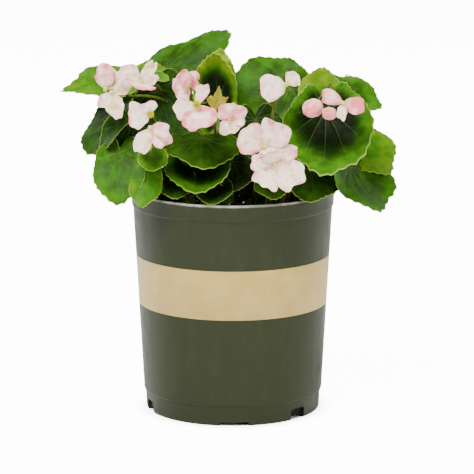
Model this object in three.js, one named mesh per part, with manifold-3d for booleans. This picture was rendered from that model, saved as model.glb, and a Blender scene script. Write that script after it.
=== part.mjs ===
// A wax begonia in a grower's plastic pot. Millimetres, +Z up, origin at the middle of the pot's base.
// -Y is the front. A heading is measured in plan from +X, so -90 degrees points to the front.
import * as THREE from "three";
import { mergeVertices } from "three/addons/utils/BufferGeometryUtils.js";
import Module from "manifold-3d";

const wasm = await Module();
wasm.setup();

const RAD = Math.PI / 180;
const CLEARANCE = 0.3; // left between two pieces that rest on each other
const SLIVER = 0.22; // edges shorter than this are closed up where solids are joined

// Pot
const POT_HEIGHT = 181.7;
const RIM_RADIUS = 82.5;
const WALL_FOOT_RADIUS = 71.4; // where the tapered wall would meet the table
const WALL_TAPER = 0.055; // radius gained for each millimetre of height
const FOOT_RADIUS = 70.4;
const FOOT_HEIGHT = 12.5;
const WALL = 2;
const FLOOR = 2.6;
const LIP_HEIGHT = 14;
const LIP_STEP = 0.9;
const POT_SIDES = 36;
const LOW_SLOT = { headings: [-89, 31, 151], width: 23, height: 3.2 };
const TALL_SLOT = { headings: [-42, 78, 198], width: 16, height: 9.5 };
const SLOT_REACH = 8; // how far a slot runs in under the floor
const STEP_HEIGHT = 17; // where the wall steps out over the foot

// Printed band round the pot
const BAND_BOTTOM = 87.6;
const BAND_TOP = 128.3;
const BAND_THICKNESS = 0.5;
const BAND_RECESS = BAND_THICKNESS + CLEARANCE;

// Potting mix
const MIX_TOP = 160;
const MIX_BUMP = 1.6;
const MIX_SIDES = POT_SIDES / 2;
const STEM_HOLE_DEPTH = 26;
const STEM_HOLE_RADIUS = 4.3;

// Plant
const STEM_RADIUS = 3.4;
const STEM_SIDES = 6;
const STEM_STEPS = 6;
const PETIOLE_RADIUS = 1.35;
const PETIOLE_UNDER = 0.3; // how far below the blade a petiole's middle runs
const PETIOLE_SUNK = 2.5; // how far it runs on along the midrib
const PEDUNCLE_RADIUS = 1.15;
const PEDICEL_RADIUS = 0.75;
const STALK_SIDES = 3;
const BLADE_THICKNESS = 0.8;
const LEAF_SKEW = 0.07; // how far one side of a leaf outgrows the other
const LEAF_WAVE = 0.05; // height of the margin's waves, as a share of the leaf's length
const WAVE_TURN = 0.1; // radians that the waves turn for each millimetre from leaf to leaf
const PETAL_THICKNESS = 0.8;
const HEART_RADIUS = 2.4; // the seat that a bloom's tepals grow from
const STAMEN_RADIUS = 2.8;
const TEPAL_FLARE = 0.45; // how much wider a tepal is at its rim than at its foot
const BUD_LENGTH = 13;
const BUD_WIDTH = 12;
const BUD_DEPTH = 10;

const wallRadius = (z) => WALL_FOOT_RADIUS + WALL_TAPER * z;

const colour = {
  pot: new THREE.MeshStandardMaterial({ color: 0x4b563b, roughness: 0.42, metalness: 0 }),
  band: new THREE.MeshStandardMaterial({ color: 0xcdbb93, roughness: 0.55, metalness: 0 }),
  mix: new THREE.MeshStandardMaterial({ color: 0x2a1f17, roughness: 0.95, metalness: 0 }),
  leaf: new THREE.MeshStandardMaterial({ color: 0x3f7a1c, roughness: 0.35, metalness: 0 }),
  petal: new THREE.MeshStandardMaterial({ color: 0xf3d9d4, roughness: 0.5, metalness: 0 }),
  stamen: new THREE.MeshStandardMaterial({ color: 0xd9bf2e, roughness: 0.7, metalness: 0 }),
};

// A closed three.js geometry as a solid that can be joined and cut.
function solid(geometry) {
  const bare = geometry.clone();
  bare.deleteAttribute("normal");
  bare.deleteAttribute("uv");
  const merged = mergeVertices(bare, 1e-4);
  const vertProperties = new Float32Array(merged.attributes.position.array);
  const triVerts = new Uint32Array(merged.index.array);
  const made = new wasm.Manifold(new wasm.Mesh({ numProp: 3, vertProperties, triVerts }));
  if (made.volume() > 0) return made;
  for (let i = 0; i < triVerts.length; i += 3) {
    [triVerts[i + 1], triVerts[i + 2]] = [triVerts[i + 2], triVerts[i + 1]];
  }
  return new wasm.Manifold(new wasm.Mesh({ numProp: 3, vertProperties, triVerts }));
}

// Pockets of air that are shut in between the joined pieces are filled.
function join(solids) {
  const whole = solids.reduce((sum, piece) => sum.add(piece)).simplify(SLIVER);
  return wasm.Manifold.compose(whole.decompose().filter((body) => body.volume() > 0));
}

function piece(name, made, material) {
  const { vertProperties, triVerts, numProp } = made.getMesh();
  const xyz = new Float32Array((vertProperties.length / numProp) * 3);
  for (let i = 0; i < xyz.length / 3; i++) {
    xyz.set(vertProperties.subarray(i * numProp, i * numProp + 3), i * 3);
  }
  const geometry = new THREE.BufferGeometry();
  geometry.setAttribute("position", new THREE.BufferAttribute(xyz, 3));
  geometry.setIndex(new THREE.BufferAttribute(triVerts, 1));
  geometry.computeVertexNormals();
  const mesh = new THREE.Mesh(geometry, material);
  mesh.name = name;
  return mesh;
}

// A round profile of [radius, height] points, turned about Z.
function turned(profile, sides) {
  const closed = [...profile, profile[0]].map(([r, z]) => new THREE.Vector2(r, z));
  return solid(new THREE.LatheGeometry(closed, sides).rotateX(Math.PI / 2));
}

function vector([x, y, z]) {
  return new THREE.Vector3(x, y, z);
}

// The direction of a heading in plan and a pitch above the horizontal.
function direction(heading, pitch) {
  const flat = Math.cos(pitch * RAD);
  return new THREE.Vector3(
    flat * Math.cos(heading * RAD),
    flat * Math.sin(heading * RAD),
    Math.sin(pitch * RAD),
  );
}

function tube(curve, radius, sides, steps) {
  const ring = Array.from({ length: sides }, (_, k) => {
    const turn = (2 * Math.PI * k) / sides;
    return new THREE.Vector2(radius * Math.cos(turn), radius * Math.sin(turn));
  });
  return solid(new THREE.ExtrudeGeometry(new THREE.Shape(ring), { steps, extrudePath: curve }));
}

// A thin closed blade. surface(angle, share) is its middle surface, from the middle point at share 0 to
// the edge at share 1. rings is a list of [points in the ring, share], where each ring has as many points
// as the one inside it, or twice as many. Both faces are split into the same triangles.
function blade(surface, rings, thickness) {
  const middle = [surface(0, 0)];
  const rows = [[0]];
  for (const [count, share] of rings) {
    const row = [];
    for (let k = 0; k < count; k++) {
      row.push(middle.length);
      middle.push(surface((2 * Math.PI * k) / count, share));
    }
    rows.push(row);
  }
  const faces = [];
  for (let r = 1; r < rows.length; r++) {
    const inner = rows[r - 1];
    const outer = rows[r];
    for (let k = 0; k < outer.length; k++) {
      const next = (k + 1) % outer.length;
      if (inner.length === 1) {
        faces.push([inner[0], outer[k], outer[next]]);
      } else if (inner.length === outer.length) {
        faces.push([inner[k], outer[k], outer[next]], [inner[k], outer[next], inner[next]]);
      } else if (k % 2 === 0) {
        faces.push([inner[k / 2], outer[k], outer[next]]);
      } else {
        const before = (k - 1) / 2;
        const after = ((k + 1) / 2) % inner.length;
        faces.push([inner[before], outer[k], inner[after]], [inner[after], outer[k], outer[next]]);
      }
    }
  }
  const normals = middle.map(() => new THREE.Vector3());
  for (const [a, b, c] of faces) {
    const ab = middle[b].clone().sub(middle[a]);
    const ac = middle[c].clone().sub(middle[a]);
    const across = ab.cross(ac);
    for (const corner of [a, b, c]) normals[corner].add(across);
  }
  const count = middle.length;
  const xyz = [];
  for (const side of [0.5, -0.5]) {
    middle.forEach((point, i) => {
      xyz.push(...point.clone().addScaledVector(normals[i].normalize(), side * thickness).toArray());
    });
  }
  const index = faces.flatMap(([a, b, c]) => [a, b, c, a + count, c + count, b + count]);
  const edge = rows[rows.length - 1];
  edge.forEach((a, k) => {
    const b = edge[(k + 1) % edge.length];
    index.push(b, a, a + count, b, a + count, b + count);
  });
  const geometry = new THREE.BufferGeometry();
  geometry.setAttribute("position", new THREE.Float32BufferAttribute(xyz, 3));
  geometry.setIndex(index);
  return geometry;
}

// How far a begonia leaf reaches from its stalk at an angle from the midrib, as a share of its length:
// broad and round, drawn to a short tip, with two lobes and a notch at the stalk.
function leafReach(angle) {
  const turn = Math.atan2(Math.sin(angle), Math.cos(angle));
  const round = 0.6 + 0.26 * Math.cos(turn) + 0.07 * Math.cos(2 * turn);
  const tip = 0.035 * Math.exp(-((turn / 0.25) ** 2));
  const notch = 1 - 0.78 * Math.exp(-(((Math.PI - Math.abs(turn)) / 0.33) ** 2));
  return (round + tip) * notch * (1 + LEAF_SKEW * Math.sin(turn));
}

// A leaf's middle surface in its own frame: X along the midrib, Y across, Z out of the upper face.
function leafSurface(leaf) {
  const { long, broad = 1, cup = 0.12, fold = 0, droop = 10 } = leaf;
  const phase = WAVE_TURN * leaf.base[0];
  const teeth = leafRings(leaf).at(-1)[0] / 2;
  return (angle, share) => {
    const crenate = 1 + 0.022 * Math.cos(teeth * angle) * share ** 3;
    const reach = long * leafReach(angle) * share * crenate;
    const along = reach * Math.cos(angle);
    const across = reach * Math.sin(angle) * broad;
    const out = (along ** 2 + across ** 2) / long ** 2;
    const ripple = LEAF_WAVE * long * Math.sin(5 * angle + phase) * share ** 3;
    const rise = long * cup * out + fold * Math.sqrt(across ** 2 + 4) + ripple;
    const bend = (along / long) * droop * RAD;
    const radius = droop ? long / (droop * RAD) : Infinity;
    const x = droop ? (radius + rise) * Math.sin(bend) : along;
    const z = droop ? (radius + rise) * Math.cos(bend) - radius : rise;
    return new THREE.Vector3(x, across, z);
  };
}

// The frame of a leaf: its midrib's direction, the way across and the way its upper face looks.
function leafFrame({ heading, pitch, roll = 0 }) {
  const along = direction(heading, pitch);
  const up = new THREE.Vector3(0, 0, 1).addScaledVector(along, -along.z).normalize();
  up.applyAxisAngle(along, roll * RAD);
  return { along, across: up.clone().cross(along), up };
}

// The longer a leaf, the finer its blade.
const LARGE_LEAF = 55;
const LARGE_RINGS = [[10, 0.42], [20, 0.78], [20, 1]];
const SMALL_RINGS = [[8, 0.6], [16, 1]];

function leafRings({ long }) {
  return long > LARGE_LEAF ? LARGE_RINGS : SMALL_RINGS;
}

function leafSolid(leaf) {
  const { along, across, up } = leafFrame(leaf);
  const place = new THREE.Matrix4().makeBasis(along, across, up).setPosition(vector(leaf.base));
  return solid(blade(leafSurface(leaf), leafRings(leaf), BLADE_THICKNESS).applyMatrix4(place));
}

// A stalk from a point on the stem to a leaf, sunk along the foot of the midrib.
function petiole(from, leaf) {
  const { along, up } = leafFrame(leaf);
  const base = vector(leaf.base).addScaledVector(up, -PETIOLE_UNDER);
  const reach = from.distanceTo(base);
  const curve = new THREE.CubicBezierCurve3(
    from,
    from.clone().lerp(base, 0.35).add(new THREE.Vector3(0, 0, 0.12 * reach)),
    base.clone().addScaledVector(along, -0.3 * reach),
    base.clone().addScaledVector(along, PETIOLE_SUNK),
  );
  return tube(curve, PETIOLE_RADIUS, STALK_SIDES, 3);
}

// A tepal's middle surface: X from its foot to its rim, Y across, Z out of its inner face. point is how
// much it is drawn in towards a tip.
function tepalSurface({ long, wide, cup = 0.1, point = 0, ruffle = 0.03, phase = 0 }) {
  return (angle, share) => {
    const s = 0.5 + 0.5 * Math.cos(angle) * share;
    const taper = (1.3 - TEPAL_FLARE * (1 - s)) * (1 - point * s ** 3);
    const across = 0.5 * wide * Math.sin(angle) * share * taper;
    const hollow = cup * wide * ((2 * across) / wide) ** 2 * 0.5 + cup * long * s * s * 0.6;
    const ripple = ruffle * long * Math.sin(3 * angle + phase) * share;
    return new THREE.Vector3(long * s, across, hollow + ripple);
  };
}

// The wider a tepal, the finer its blade.
const BROAD_TEPAL = 18;
const BROAD_RINGS = [[5, 0.55], [10, 1]];
const NARROW_RINGS = [[7, 1]];

// The tepals of each kind of bloom: at is the angle round the bloom, open the angle from its axis.
const BLOOMS = {
  open: [
    { at: 95, open: 76, long: 15, wide: 18, cup: 0.2 },
    { at: 215, open: 76, long: 15, wide: 19, cup: 0.2 },
    { at: 325, open: 72, long: 12, wide: 11, cup: 0.2 },
    { at: 20, open: 66, long: 12, wide: 8, cup: 0.2 },
  ],
  ruffled: [
    { at: 85, open: 76, long: 14, wide: 19, cup: 0.2, ruffle: 0.05 },
    { at: 262, open: 76, long: 14, wide: 19, cup: 0.2, ruffle: 0.05 },
    { at: 172, open: 60, long: 12, wide: 14, cup: 0.3, ruffle: 0.06 },
    { at: 8, open: 60, long: 12, wide: 14, cup: 0.3, ruffle: 0.06, phase: 2 },
  ],
};

// A bloom's frame: the way it faces, the way to its right and the way up. Most face the front.
function bloomFrame({ heading = -90, pitch = 10 }) {
  const axis = direction(heading, pitch);
  const up = new THREE.Vector3(0, 0, 1).addScaledVector(axis, -axis.z).normalize();
  return { axis, right: up.clone().cross(axis), up };
}

// A closed bud is one smooth ball of folded tepals, a little flat.
function budSolid({ axis, right, up }, size, foot) {
  const place = new THREE.Matrix4().makeBasis(right, axis, up.clone().negate());
  const ball = new THREE.SphereGeometry(size / 2, 8, 6).scale(BUD_WIDTH, BUD_LENGTH, BUD_DEPTH);
  const middle = foot.clone().addScaledVector(axis, size * (BUD_LENGTH / 2 - HEART_RADIUS));
  return solid(ball.applyMatrix4(place.setPosition(middle)));
}

function bloomSolid(bloom) {
  const { axis, right, up } = bloomFrame(bloom);
  const size = bloom.size ?? 1;
  const heart = vector(bloom.at);
  if (bloom.kind === "bud") return budSolid({ axis, right, up }, size, heart);
  const seat = new THREE.Matrix4().makeBasis(right, up, axis).setPosition(heart);
  const parts = [solid(new THREE.OctahedronGeometry(HEART_RADIUS * size, 0).applyMatrix4(seat))];
  for (const tepal of bloom.tepals ?? BLOOMS[bloom.kind]) {
    const radial = right
      .clone()
      .multiplyScalar(Math.cos(tepal.at * RAD))
      .addScaledVector(up, Math.sin(tepal.at * RAD));
    const along = axis
      .clone()
      .multiplyScalar(Math.cos(tepal.open * RAD))
      .addScaledVector(radial, Math.sin(tepal.open * RAD));
    const inward = axis
      .clone()
      .multiplyScalar(Math.sin(tepal.open * RAD))
      .addScaledVector(radial, -Math.cos(tepal.open * RAD));
    const foot = heart.clone().addScaledVector(along, HEART_RADIUS * size * 0.4);
    const place = new THREE.Matrix4().makeBasis(along, inward.clone().cross(along), inward);
    place.scale(new THREE.Vector3(size, size, size)).setPosition(foot);
    const rings = tepal.wide > BROAD_TEPAL ? BROAD_RINGS : NARROW_RINGS;
    parts.push(solid(blade(tepalSurface(tepal), rings, PETAL_THICKNESS / size).applyMatrix4(place)));
  }
  return join(parts);
}

// The yellow tuft of an open bloom, just clear of the seat.
function stamens(bloom) {
  const { axis } = bloomFrame(bloom);
  const size = bloom.size ?? 1;
  const reach = HEART_RADIUS * size + CLEARANCE + STAMEN_RADIUS;
  const middle = vector(bloom.at).addScaledVector(axis, reach);
  const tuft = new THREE.IcosahedronGeometry(STAMEN_RADIUS, 0);
  return solid(tuft.translate(middle.x, middle.y, middle.z));
}

// Each leafy stem: where it leaves the mix, where it ends, its leaves and its spray of bloom. A leaf or a
// spray leaves the stem at a share of its height; a spray's blooms hang from its knot. A bloom has its own
// tepals or those of its kind.
const STEMS = [
  {
    name: "leafy_stem_left",
    root: [-30, -20],
    top: [-58, -36, 214],
    leaves: [
      { from: 0.75, base: [-90, -46, 217], heading: -96, pitch: -58, long: 45, broad: 0.8, cup: 0.1 },
      { from: 0.6, base: [-68, -58, 203], heading: -100, pitch: -50, long: 32, broad: 0.7 },
      { from: 0.9, base: [-64.5, -60, 219.5], heading: -84, pitch: -40, long: 24, broad: 0.86, cup: 0.45 },
      { from: 0.95, base: [-93, -18, 246], heading: 215, pitch: -50, long: 44 },
      { from: 0.98, base: [-82, -32, 238], heading: -100, pitch: -68, long: 42 },
    ],
    spray: {
      from: 0.97,
      knot: [-57, -60, 246],
      blooms: [
        {
          kind: "open", at: [-64, -82, 254.5],
          tepals: [
            { at: 188, open: 80, long: 17.5, wide: 18.5, cup: 0.12 },
            { at: 108, open: 84, long: 9.5, wide: 13, cup: 0.12 },
          ],
        },
        {
          kind: "ruffled", at: [-64, -89, 245],
          tepals: [
            { at: 243, open: 84, long: 23, wide: 13, cup: -0.1, point: 0.3 },
            { at: 318, open: 82, long: 18, wide: 15, ruffle: 0.04 },
            { at: 350, open: 72, long: 16, wide: 12, cup: 0.2, ruffle: 0.05 },
          ],
        },
      ],
    },
  },
  {
    name: "leafy_stem_left_high",
    root: [-20, 6],
    top: [-50, 0, 252],
    leaves: [
      { from: 0.95, base: [-74, -4, 273], heading: 182, pitch: -10, long: 66, roll: -22, broad: 0.6 },
      {
        from: 0.98, base: [-58, 14, 273.5], heading: 5, pitch: 26, long: 66, droop: 9, roll: 42,
        broad: 0.56, fold: -0.25,
      },
      { from: 0.85, base: [-62, -2, 261], heading: -92, pitch: -76, long: 52 },
    ],
    spray: {
      from: 0.98,
      knot: [-78, -34, 261],
      blooms: [
        {
          kind: "ruffled", at: [-100, -50, 269],
          tepals: [
            { at: 92, open: 80, long: 18, wide: 14.5, cup: 0.12 },
            { at: 58, open: 96, long: 17, wide: 13 },
          ],
        },
        {
          kind: "ruffled", at: [-95, -58, 268],
          tepals: [
            { at: 285, open: 80, long: 21, wide: 14, point: 0.5 },
            { at: 238, open: 84, long: 14, wide: 12, ruffle: 0.05 },
            { at: 22, open: 85, long: 15, wide: 10 },
          ],
        },
        {
          kind: "ruffled", at: [-72, -62, 277],
          tepals: [
            { at: 150, open: 82, long: 18, wide: 15 },
            { at: 55, open: 85, long: 20, wide: 10, point: 0.4, ruffle: 0.06 },
            { at: 15, open: 75, long: 13, wide: 9 },
            { at: 255, open: 32, long: 13, wide: 22, cup: 0.25 },
          ],
        },
      ],
    },
  },
  {
    name: "leafy_stem_front",
    root: [-6, -26],
    top: [-14, -30, 224],
    leaves: [
      { from: 0.98, base: [-25, -38, 228], heading: -90, pitch: -14, long: 46, broad: 1.14, cup: -0.05 },
      { from: 0.85, base: [-28.5, -38, 213], heading: -92, pitch: -50, long: 42, cup: 0.6, broad: 1.06 },
      { from: 0.6, base: [-45.8, -48, 202.3], heading: -92, pitch: -48, long: 27, cup: 0.2 },
      { from: 0.8, base: [-1, -41, 210], heading: -84, pitch: -54, long: 28 },
      {
        from: 0.85, base: [-13, -11, 242], heading: 86, pitch: 82, long: 55,
        broad: 0.56, cup: 0.4, droop: -8,
      },
      { from: 0.9, base: [-10, -3, 258], heading: 78, pitch: 83, long: 37, broad: 0.62, cup: 0.2 },
      { from: 0.5, base: [-16, -52, 193], heading: -92, pitch: -34, long: 27, cup: 0.3 },
    ],
    spray: {
      from: 0.98,
      knot: [-15, -54, 261],
      blooms: [
        {
          kind: "ruffled", at: [-34, -68, 275], size: 0.88,
          tepals: [
            { at: 150, open: 74, long: 14, wide: 19, cup: 0.2, ruffle: 0.06 },
            { at: 212, open: 76, long: 15, wide: 20, cup: 0.2, ruffle: 0.05 },
            { at: 92, open: 70, long: 13.5, wide: 18, cup: 0.2, ruffle: 0.07 },
            { at: 28, open: 64, long: 9, wide: 15, cup: 0.25, ruffle: 0.06 },
            { at: 120, open: 28, long: 7.5, wide: 11, cup: 0.3, ruffle: 0.08 },
          ],
        },
        {
          kind: "open", at: [-28, -82, 262],
          tepals: [
            { at: 202, open: 78, long: 18.5, wide: 15, cup: 0.15 },
            { at: 280, open: 66, long: 23, wide: 26, cup: 0.3 },
            { at: 66, open: 82, long: 17, wide: 9 },
          ],
        },
        {
          kind: "ruffled", at: [-1, -76, 250], size: 0.94,
          tepals: [
            { at: 120, open: 70, long: 13, wide: 17, cup: 0.2, ruffle: 0.05 },
            { at: 48, open: 72, long: 13.5, wide: 15, cup: 0.2, ruffle: 0.05 },
            { at: 4, open: 66, long: 12, wide: 12, cup: 0.2, ruffle: 0.06 },
            { at: 242, open: 74, long: 14, wide: 13, ruffle: 0.06 },
            { at: 292, open: 72, long: 12.5, wide: 12, ruffle: 0.06 },
            { at: 150, open: 30, long: 7, wide: 9, cup: 0.3 },
          ],
        },
        {
          kind: "sprout", at: [-14, -60, 255],
          tepals: [
            { at: 112, open: 62, long: 13, wide: 6, point: 0.6 },
            { at: 78, open: 70, long: 17, wide: 7, point: 0.6 },
            { at: 45, open: 64, long: 14, wide: 6, point: 0.6 },
          ],
        },
      ],
    },
  },
  {
    name: "leafy_stem_centre",
    root: [16, -10],
    top: [30, -6, 240],
    leaves: [
      { from: 0.98, base: [45.5, 9, 262], heading: 178, pitch: -3, long: 53, roll: -50, cup: 0.08 },
      { from: 0.8, base: [18, -18, 239], heading: -82, pitch: -66, long: 40 },
      { from: 0.5, base: [29, -47, 197.5], heading: -86, pitch: -32, long: 29, broad: 0.8, cup: 0.2 },
      { from: 0.8, base: [41.5, -29, 234], heading: -93, pitch: -66, long: 34 },
    ],
    spray: {
      from: 0.85,
      by: [30, -30, 228],
      knot: [32, -42, 252],
      blooms: [
        {
          kind: "ruffled", at: [42, -66, 275.5],
          tepals: [
            { at: 193, open: 80, long: 20, wide: 20.5, cup: -0.1 },
            { at: 42, open: 80, long: 11.5, wide: 12, point: 0.2 },
          ],
        },
        {
          kind: "ruffled", at: [25, -84, 229],
          tepals: [
            { at: 152, open: 76, long: 21, wide: 23, cup: 0.15, ruffle: 0.03 },
            { at: 52, open: 78, long: 23, wide: 23, cup: 0.15, ruffle: 0.03 },
            { at: 358, open: 80, long: 23, wide: 7, point: 0.4 },
            { at: 290, open: 62, long: 9, wide: 13, cup: 0.2 },
          ],
        },
        {
          kind: "ruffled", at: [32, -92, 217],
          tepals: [
            { at: 242, open: 82, long: 22, wide: 19, cup: 0.12 },
            { at: 325, open: 80, long: 26, wide: 23, cup: 0.15, ruffle: 0.03 },
            { at: 175, open: 76, long: 18, wide: 13, ruffle: 0.05 },
            { at: 95, open: 48, long: 13, wide: 20, cup: 0.2, ruffle: 0.06 },
            { at: 32, open: 78, long: 20, wide: 9, ruffle: 0.06 },
          ],
        },
      ],
    },
  },
  {
    name: "leafy_stem_right",
    root: [34, -20],
    top: [68, -28, 230],
    leaves: [
      { from: 0.98, base: [74, -36, 250], heading: -93, pitch: -62, long: 60.5, broad: 1, cup: 0.6 },
      { from: 0.98, base: [70.5, -17, 251], heading: 74, pitch: 74, long: 31 },
      { from: 0.6, base: [64, -44, 202], heading: -94, pitch: -34, long: 37, broad: 0.95 },
      { from: 0.7, base: [93.5, -36, 205], heading: -38, pitch: -50, long: 47, broad: 1.22 },
      { from: 0.9, base: [98, -8, 222], heading: -20, pitch: -42, long: 42, roll: 25 },
      { from: 0.98, base: [86, 12, 259], heading: -12, pitch: -24, long: 38, broad: 0.8, roll: 35 },
    ],
    spray: {
      from: 0.98,
      by: [72, -16, 255],
      knot: [77, -34, 271],
      blooms: [
        { kind: "bud", at: [64.7, -73, 261], heading: -115, pitch: -25, size: 1.4 },
        { kind: "bud", at: [75, -88, 257.5], heading: -88, pitch: -10, size: 1 },
        {
          kind: "ruffled", at: [86, -80, 263], size: 0.95,
          tepals: [
            { at: 154, open: 80, long: 19.5, wide: 11, cup: -0.05 },
            { at: 350, open: 78, long: 18, wide: 13.5 },
            { at: 262, open: 76, long: 14, wide: 8.5 },
          ],
        },
      ],
    },
  },
  {
    name: "leafy_stem_back_right",
    root: [26, 22],
    top: [56, 44, 238],
    leaves: [
      { from: 0.98, base: [76, 42, 253], heading: 26, pitch: -14, long: 48 },
      { from: 0.9, base: [50, 68, 230], heading: 68, pitch: -38, long: 48 },
      { from: 0.8, base: [90, 24, 222], heading: 12, pitch: -42, long: 44 },
      { from: 0.65, base: [64, 56, 204], heading: 42, pitch: -42, long: 40 },
      { from: 0.98, base: [42, 34, 254], heading: 42, pitch: -4, long: 40 },
    ],
    spray: {
      from: 0.98,
      knot: [72, 66, 240],
      blooms: [
        { kind: "open", at: [96, 86, 242], heading: 42, pitch: 12, size: 1.1 },
        { kind: "bud", at: [80, 92, 234], heading: 60, pitch: -40, size: 1.1 },
      ],
    },
  },
  {
    name: "leafy_stem_back",
    root: [-2, 34],
    top: [-2, 58, 244],
    leaves: [
      { from: 0.98, base: [2, 62, 258], heading: 92, pitch: -14, long: 52 },
      { from: 0.85, base: [25, 70, 226], heading: 78, pitch: -45, long: 40 },
      { from: 0.8, base: [-17, 74, 228], heading: 100, pitch: -42, long: 40 },
      { from: 0.6, base: [-2, 66, 203], heading: 92, pitch: -48, long: 36 },
      { from: 0.98, base: [0, 38, 256], heading: 96, pitch: -4, long: 42 },
    ],
    spray: {
      from: 0.98,
      knot: [0, 86, 241],
      blooms: [
        { kind: "ruffled", at: [12, 111, 238], heading: 80, pitch: 12, size: 1.1 },
        { kind: "bud", at: [-10, 110, 236], heading: 100, pitch: -40, size: 1.1 },
      ],
    },
  },
  {
    name: "leafy_stem_back_left",
    root: [-30, 26],
    top: [-60, 46, 234],
    leaves: [
      { from: 0.98, base: [-66, 46, 254], heading: 146, pitch: -14, long: 50 },
      { from: 0.85, base: [-65, 60, 224], heading: 138, pitch: -42, long: 40 },
      { from: 0.9, base: [-88, 24, 230], heading: 168, pitch: -36, long: 42 },
      { from: 0.65, base: [-62, 50, 206], heading: 150, pitch: -46, long: 38 },
      { from: 0.98, base: [-42, 30, 256], heading: 140, pitch: -4, long: 38 },
    ],
    spray: {
      from: 0.98,
      knot: [-74, 66, 241],
      blooms: [
        { kind: "open", at: [-98, 88, 242], heading: 138, pitch: 12, size: 1.1 },
        { kind: "bud", at: [-82, 94, 234], heading: 120, pitch: -40, size: 1.1 },
      ],
    },
  },
];

function stemCurve({ root: [x, y], top }, foot) {
  const [tx, ty, tz] = top;
  return new THREE.CubicBezierCurve3(
    new THREE.Vector3(x, y, foot),
    new THREE.Vector3(x + 0.1 * (tx - x), y + 0.1 * (ty - y), foot + 0.45 * (tz - foot)),
    new THREE.Vector3(x + 0.5 * (tx - x), y + 0.5 * (ty - y), foot + 0.65 * (tz - foot)),
    vector(top),
  );
}

function leafyStem(stem) {
  const curve = stemCurve(stem, MIX_TOP - STEM_HOLE_DEPTH + CLEARANCE);
  const parts = [tube(curve, STEM_RADIUS, STEM_SIDES, STEM_STEPS)];
  for (const leaf of stem.leaves) {
    parts.push(petiole(curve.getPoint(leaf.from), leaf), leafSolid(leaf));
  }
  const { from, by, knot, blooms } = stem.spray;
  const start = curve.getPoint(from);
  const end = vector(knot);
  const arch = start.clone().lerp(end, 0.5).add(new THREE.Vector3(0, 0, 5));
  const peduncle = new THREE.QuadraticBezierCurve3(start, by ? vector(by) : arch, end);
  parts.push(tube(peduncle, PEDUNCLE_RADIUS, STALK_SIDES, 3));
  for (const bloom of blooms) {
    const { axis } = bloomFrame(bloom);
    const back = HEART_RADIUS * (bloom.size ?? 1) + CLEARANCE;
    const seat = vector(bloom.at).addScaledVector(axis, -back);
    const bend = seat.clone().addScaledVector(axis, -0.4 * end.distanceTo(seat));
    const pedicel = new THREE.QuadraticBezierCurve3(end, bend, seat);
    parts.push(tube(pedicel, PEDICEL_RADIUS, STALK_SIDES, 2));
  }
  return join(parts);
}

function pot() {
  const inside = (z) => wallRadius(z) - WALL;
  const lip = POT_HEIGHT - LIP_HEIGHT;
  const bandSeat = (z) => wallRadius(z) - BAND_RECESS;
  const shell = turned(
    [
      [0, 0],
      [FOOT_RADIUS - 2, 0],
      [FOOT_RADIUS, 2],
      [FOOT_RADIUS + 0.5, FOOT_HEIGHT],
      [wallRadius(STEP_HEIGHT), STEP_HEIGHT],
      [wallRadius(BAND_BOTTOM), BAND_BOTTOM],
      [bandSeat(BAND_BOTTOM), BAND_BOTTOM],
      [bandSeat(BAND_TOP), BAND_TOP],
      [wallRadius(BAND_TOP), BAND_TOP],
      [wallRadius(lip), lip],
      [wallRadius(lip) + LIP_STEP, lip + 0.8],
      [RIM_RADIUS, POT_HEIGHT - 3],
      [RIM_RADIUS - 1.1, POT_HEIGHT],
      [RIM_RADIUS - 2.6, POT_HEIGHT - 1],
      [inside(lip), lip],
      [inside(STEP_HEIGHT), STEP_HEIGHT],
      [FOOT_RADIUS - WALL + 0.5, FOOT_HEIGHT],
      [FOOT_RADIUS - WALL, FLOOR],
      [0, FLOOR],
    ],
    POT_SIDES,
  );
  const cutters = [];
  for (const slot of [LOW_SLOT, TALL_SLOT]) {
    for (const heading of slot.headings) {
      const box = new THREE.BoxGeometry(2 * SLOT_REACH, slot.width, 2 * slot.height);
      box.translate(FOOT_RADIUS, 0, 0).rotateZ(heading * RAD);
      cutters.push(solid(box));
    }
  }
  return shell.subtract(join(cutters));
}

function band() {
  const inner = (z) => wallRadius(z) - BAND_RECESS + CLEARANCE;
  const bottom = BAND_BOTTOM + CLEARANCE;
  const top = BAND_TOP - CLEARANCE;
  return turned(
    [
      [inner(bottom), bottom],
      [inner(bottom) + BAND_THICKNESS, bottom],
      [inner(top) + BAND_THICKNESS, top],
      [inner(top), top],
    ],
    POT_SIDES,
  );
}

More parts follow.
